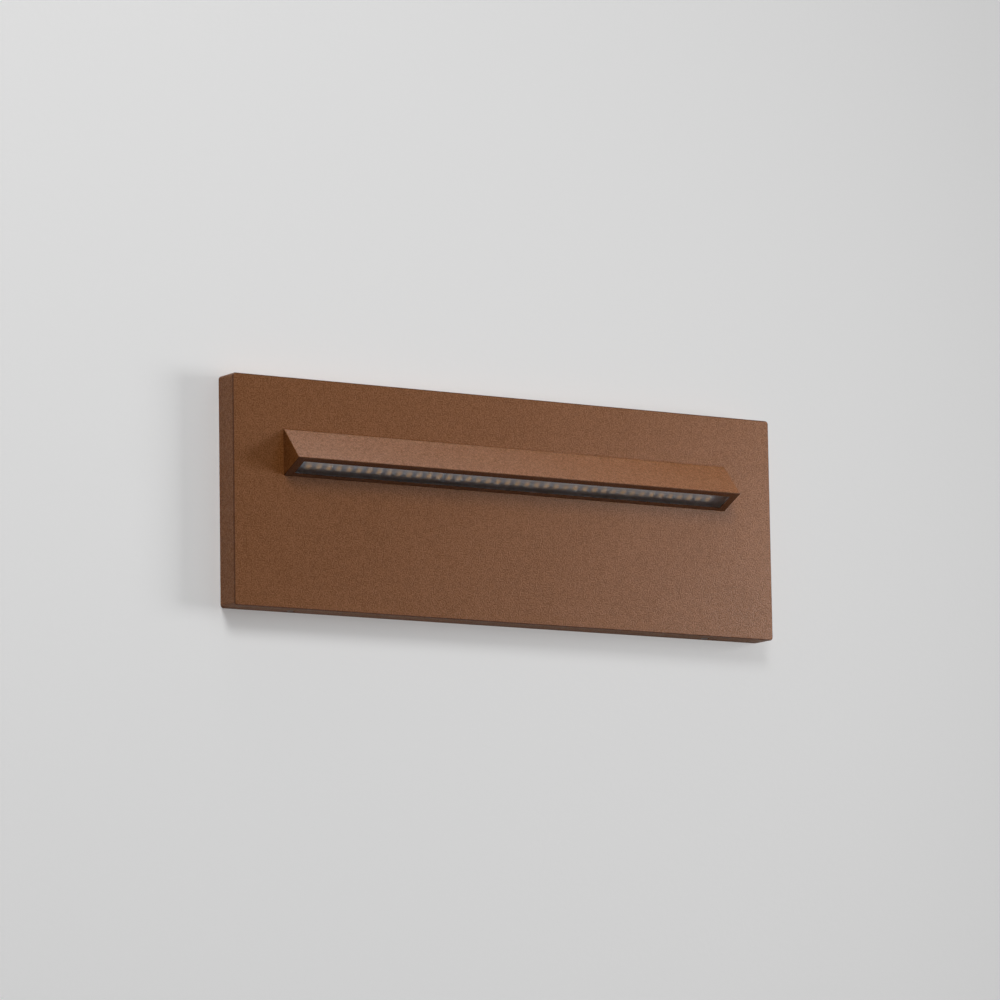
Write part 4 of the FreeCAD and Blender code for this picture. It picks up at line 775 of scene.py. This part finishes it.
# %% [markdown]
# ## Housing and lid
# The housing is the casting that the light's driver sits in. Its flange is hidden by the plate,
# and its box shows when the light is pulled out of the wall. The front and rear edges of its
# flange, its ribs and its lid get the same treatment as the wall box's corners.

# %% Housing and lid
FLANGE_FRONT, FLANGE_REAR, FLANGE_HALF_X, FLANGE_HALF_Z = -5.9, -2.0, 136.4, 46.4
HOUSING_RIBS_Z, LID_REAR = 34.8, 42.9


def on_flange_rim(m):
    """Whether a place in millimetres is out at the flange's rim."""
    return abs(m.x) > FLANGE_HALF_X or abs(m.z) > FLANGE_HALF_Z


softened("housing", SQUARE_CORNER, [
    (0.5, lambda m: m.y < FLANGE_FRONT and on_flange_rim(m)),
    (0.4, lambda m: abs(m.y - FLANGE_REAR) < 0.1 and on_flange_rim(m)),
    (0.4, lambda m: abs(m.z) > HOUSING_RIBS_Z),
])
softened("rear_cover", SQUARE_CORNER, [(0.5, lambda m: m.y > LID_REAR)])

# %% [markdown]
# ## Supply terminal
# The block that takes the house wiring has three levers: brown for live, blue for neutral and
# green for earth. Their packed shapes only lack the rounding of a moulding. The block's front and
# its two ends are rounded, and its cable holes stay sharp, as its tool leaves them.

# %% Supply terminal
BLOCK_FACE_Y, BLOCK_ENDS_Z = 48.1, 12.4
softened("terminal_block", ANY_CORNER,
         [(0.25, lambda m: m.y < BLOCK_FACE_Y or abs(m.z) > BLOCK_ENDS_Z)])
for conductor in ("live", "neutral", "earth"):
    softened("lever_" + conductor, ANY_CORNER, [(0.25, lambda m: True)], clamp=True)

# %% [markdown]
# ## Stage
# The light belongs in a wall, so it is shown in a sample of wall: a thin plastered panel with an
# opening for the box, which stands on a pale floor. A solid wall would look the same from the
# front, but it would hide the box from behind. The panel is one cube, cut by four planes round
# the opening; the two middle faces come out, and their rims are bridged.


# %% Stage meshes
def make_object(name, bm, finish):
    """An object at the origin with the bmesh as its mesh."""
    mesh = bpy.data.meshes.new(name)
    bm.to_mesh(mesh)
    bm.free()
    made = bpy.data.objects.new(name, mesh)
    bpy.context.scene.collection.objects.link(made)
    mesh.materials.append(finish.material)
    return made


def box_mesh(low, high):
    """A bmesh of a plain block between two corners."""
    bm = bmesh.new()
    bmesh.ops.create_cube(bm, size=1.0)
    low, high = Vector(low), Vector(high)
    bmesh.ops.scale(bm, vec=high - low, verts=bm.verts)
    bmesh.ops.translate(bm, vec=(high + low) / 2, verts=bm.verts)
    return bm


def cut_opening(bm, half_x, half_z):
    """Cuts a rectangular opening right through a panel that faces Y."""
    for axis, reach in (((1, 0, 0), half_x), ((0, 0, 1), half_z)):
        for way in (-1, 1):
            bmesh.ops.bisect_plane(bm, geom=bm.verts[:] + bm.edges[:] + bm.faces[:],
                                   plane_co=Vector(axis) * reach * way, plane_no=axis)
    middle = [f for f in bm.faces if abs(f.calc_center_median().x) < half_x
              and abs(f.calc_center_median().z) < half_z]
    bmesh.ops.delete(bm, geom=middle, context="FACES")
    rims = [e for e in bm.edges if e.is_boundary]
    bmesh.ops.bridge_loops(bm, edges=rims)


# %% [markdown]
# ## Plaster and floor
# The photograph's wall is pale and evenly lit, while the light on it casts a soft shadow. Lamps
# strong enough for that wall would bleach the plate. So the plaster and the floor give off a
# little light of their own: Light Path tells which rays may see it, and the plate's shadow stays.
# Towards the right the plaster throws back less and glows more: its tone hardly changes, but the
# shadow fades, as it does in the photograph. The floor gives the underside almost no bounce.


# %% Plaster and floor
SHOWN_RAYS = ("Is Camera Ray", "Is Glossy Ray", "Is Transmission Ray")
WALL_LEFT, WALL_RIGHT = -0.25, 0.28
PLASTER_LEFT, PLASTER_RIGHT = (0.94, 0.94, 0.94), (0.20, 0.20, 0.20)
WALL_GLOW, WALL_GLOW_RISE = 0.145, 0.255
FLOOR_COLOUR, FLOOR_BOUNCE, FLOOR_GLOW = (0.62, 0.62, 0.61), (0.05, 0.05, 0.05), (0.2, 0.2, 0.2)


def plaster():
    """Matt plaster with a pale glow that the camera and diffuse rays see."""
    finish = Finish("plaster", (0.80, 0.80, 0.80), 0.9, Specular_IOR_Level=0.2)
    across = finish.spread(finish.axis("X"), WALL_LEFT, WALL_RIGHT)
    finish.drive("Base Color", finish.mixed(across, PLASTER_LEFT, PLASTER_RIGHT))
    seen = sum(finish.node("LightPath", out=kind) for kind in ("Is Camera Ray", "Is Diffuse Ray"))
    strength = (WALL_GLOW + across * WALL_GLOW_RISE) * (seen > 0.5)
    glow = finish.node("Emission", {"Strength": strength})
    both = finish.node("AddShader", {0: Wire(finish, finish.shader.outputs[0]), 1: glow})
    finish.feed(finish.tree.nodes["Material Output"].inputs["Surface"], both)
    return finish.bump(finish.noise(3 * MM, 4.0), 0.05 * MM)


def pale_floor():
    """Matt floor that gives little bounce, but looks pale to the camera and in mirrors."""
    finish = Finish("pale_floor", FLOOR_COLOUR, 0.9, Emission_Strength=1.0)
    shown = sum(finish.node("LightPath", out=kind) for kind in SHOWN_RAYS) > 0.5
    finish.drive("Base Color", finish.mixed(shown, FLOOR_BOUNCE, FLOOR_COLOUR))
    finish.drive("Emission Color", finish.mixed(shown, BLACK, FLOOR_GLOW))
    return finish.bump(finish.noise(4 * MM), 0.05 * MM)


# %% [markdown]
# ## The wall and the floor in place
# The opening is cut to the box's own size with a little play, since a wall is built round its
# box. Only the ribs of the box reach further, and those are behind the panel.

# %% The wall and the floor in place
WALL_HALF_X, WALL_TOP, WALL_THICK, FLOOR_Z, FLOOR_HALF = 0.315, 0.295, 0.005, -1.2, 3.0
OPENING_HALF_X, RIB_HEIGHT, PLAY = 0.1336, 2.0 * MM, 0.6 * MM
box_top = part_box("recess_box")[1].z
panel = box_mesh((-WALL_HALF_X, 0.0, FLOOR_Z), (WALL_HALF_X, WALL_THICK, WALL_TOP))
cut_opening(panel, OPENING_HALF_X, box_top - RIB_HEIGHT + PLAY)
wall = make_object("wall_panel", panel, plaster())
wall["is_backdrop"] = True

ground = bmesh.new()
bmesh.ops.create_grid(ground, x_segments=1, y_segments=1, size=FLOOR_HALF)
bmesh.ops.translate(ground, vec=(0, 0, FLOOR_Z), verts=ground.verts)
floor = make_object("floor", ground, pale_floor())
floor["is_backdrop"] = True
print("panel", [round(d, 3) for d in wall.dimensions], "m")

# %% [markdown]
# ## Lamps
# The photograph has soft studio light: brightest on the wall at the upper left, a soft shadow
# under the plate, and a broad gloss that grows towards the plate's right end. One large lamp
# would give the shadow but not the gloss. A key from the upper left, a weak fill, a near lamp
# from the right and two from above give both, and two more light the back. Their strengths were
# solved from the photograph's tones, with each lamp rendered alone.

# %% Lamps
LAMPS = {  # place in metres, size in metres, strength in watts
    "key": ((-0.672, -1.847, 1.53), 0.8, 23.4),
    "fill": ((0.90, -1.70, 1.20), 1.0, 2.2),
    "right": ((0.70, -0.40, 0.01), 0.3, 3.4),
    "over_right": ((0.42, -0.05, 1.1), 0.3, 1.5),
    "over": ((-0.25, -0.10, 1.1), 0.4, 1.6),
    "rear_left": ((-1.6, 1.9, 1.3), 1.2, 30.0),
    "rear_right": ((1.5, 1.7, 0.9), 1.2, 25.0),
}
for name, (location, size, watts) in LAMPS.items():
    lamp = bpy.data.lights.new(name, "AREA")
    lamp.size = size
    lamp.energy = watts
    holder = bpy.data.objects.new(name, lamp)
    holder.location = location
    holder.visible_camera = False
    holder.rotation_euler = (-Vector(location)).to_track_quat("-Z", "Y").to_euler()
    bpy.context.scene.collection.objects.link(holder)
print(len(LAMPS), "lamps")

# %% [markdown]
# ## The room around it
# The studio's air gives a weak even light, weaker from below. What stands behind the light is
# pale, and it would flood the light if it lit it, so the pale backdrop is shown to the camera and
# to what glass and metal mirror, and not to the surfaces. The node class from the finishes does
# for the world as well.


# %% The room around it
SKY, GROUND, BACKDROP = 0.15, 0.02, 0.72
GROUND_TO_SKY, FRONT_TO_BEHIND = (-0.35, -0.10), (-0.45, -0.15)


class Room(Finish):
    """The world's own tree, built with the same signs as a finish."""

    def __init__(self, name):
        world = bpy.data.worlds.new(name)
        world.use_nodes = True
        bpy.context.scene.world = world
        self.tree = world.node_tree
        self.shader = self.tree.nodes["Background"]
        self.place = self.node("TexCoord", out="Generated")


room = Room("studio")
air = GROUND + (SKY - GROUND) * room.spread(room.axis("Z"), *GROUND_TO_SKY)
behind = room.spread(room.axis("Y"), *FRONT_TO_BEHIND)
mirrored = sum(room.node("LightPath", out=kind) for kind in SHOWN_RAYS[1:])
shown = (room.node("LightPath", out=SHOWN_RAYS[0]) + mirrored * behind) > 0.5
room.plain({"Color": rgba((1.0, 1.0, 1.0))})
room.drive("Strength", air + shown * (BACKDROP - air))
print("air", SKY, "from above and", GROUND, "from below, backdrop", BACKDROP)

# %% [markdown]
# ## Sizes and the end
# The dressed model is meant to stay inside the packed one. The growth of its box over the packed
# box is printed, in millimetres.

# %% Sizes and the end
dressed_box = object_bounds()
growth = [round((dressed - packed) / MM, 3) for corners_now, corners_then
          in zip(dressed_box, packed_box) for dressed, packed in zip(corners_now, corners_then)]
print("growth in mm", growth)
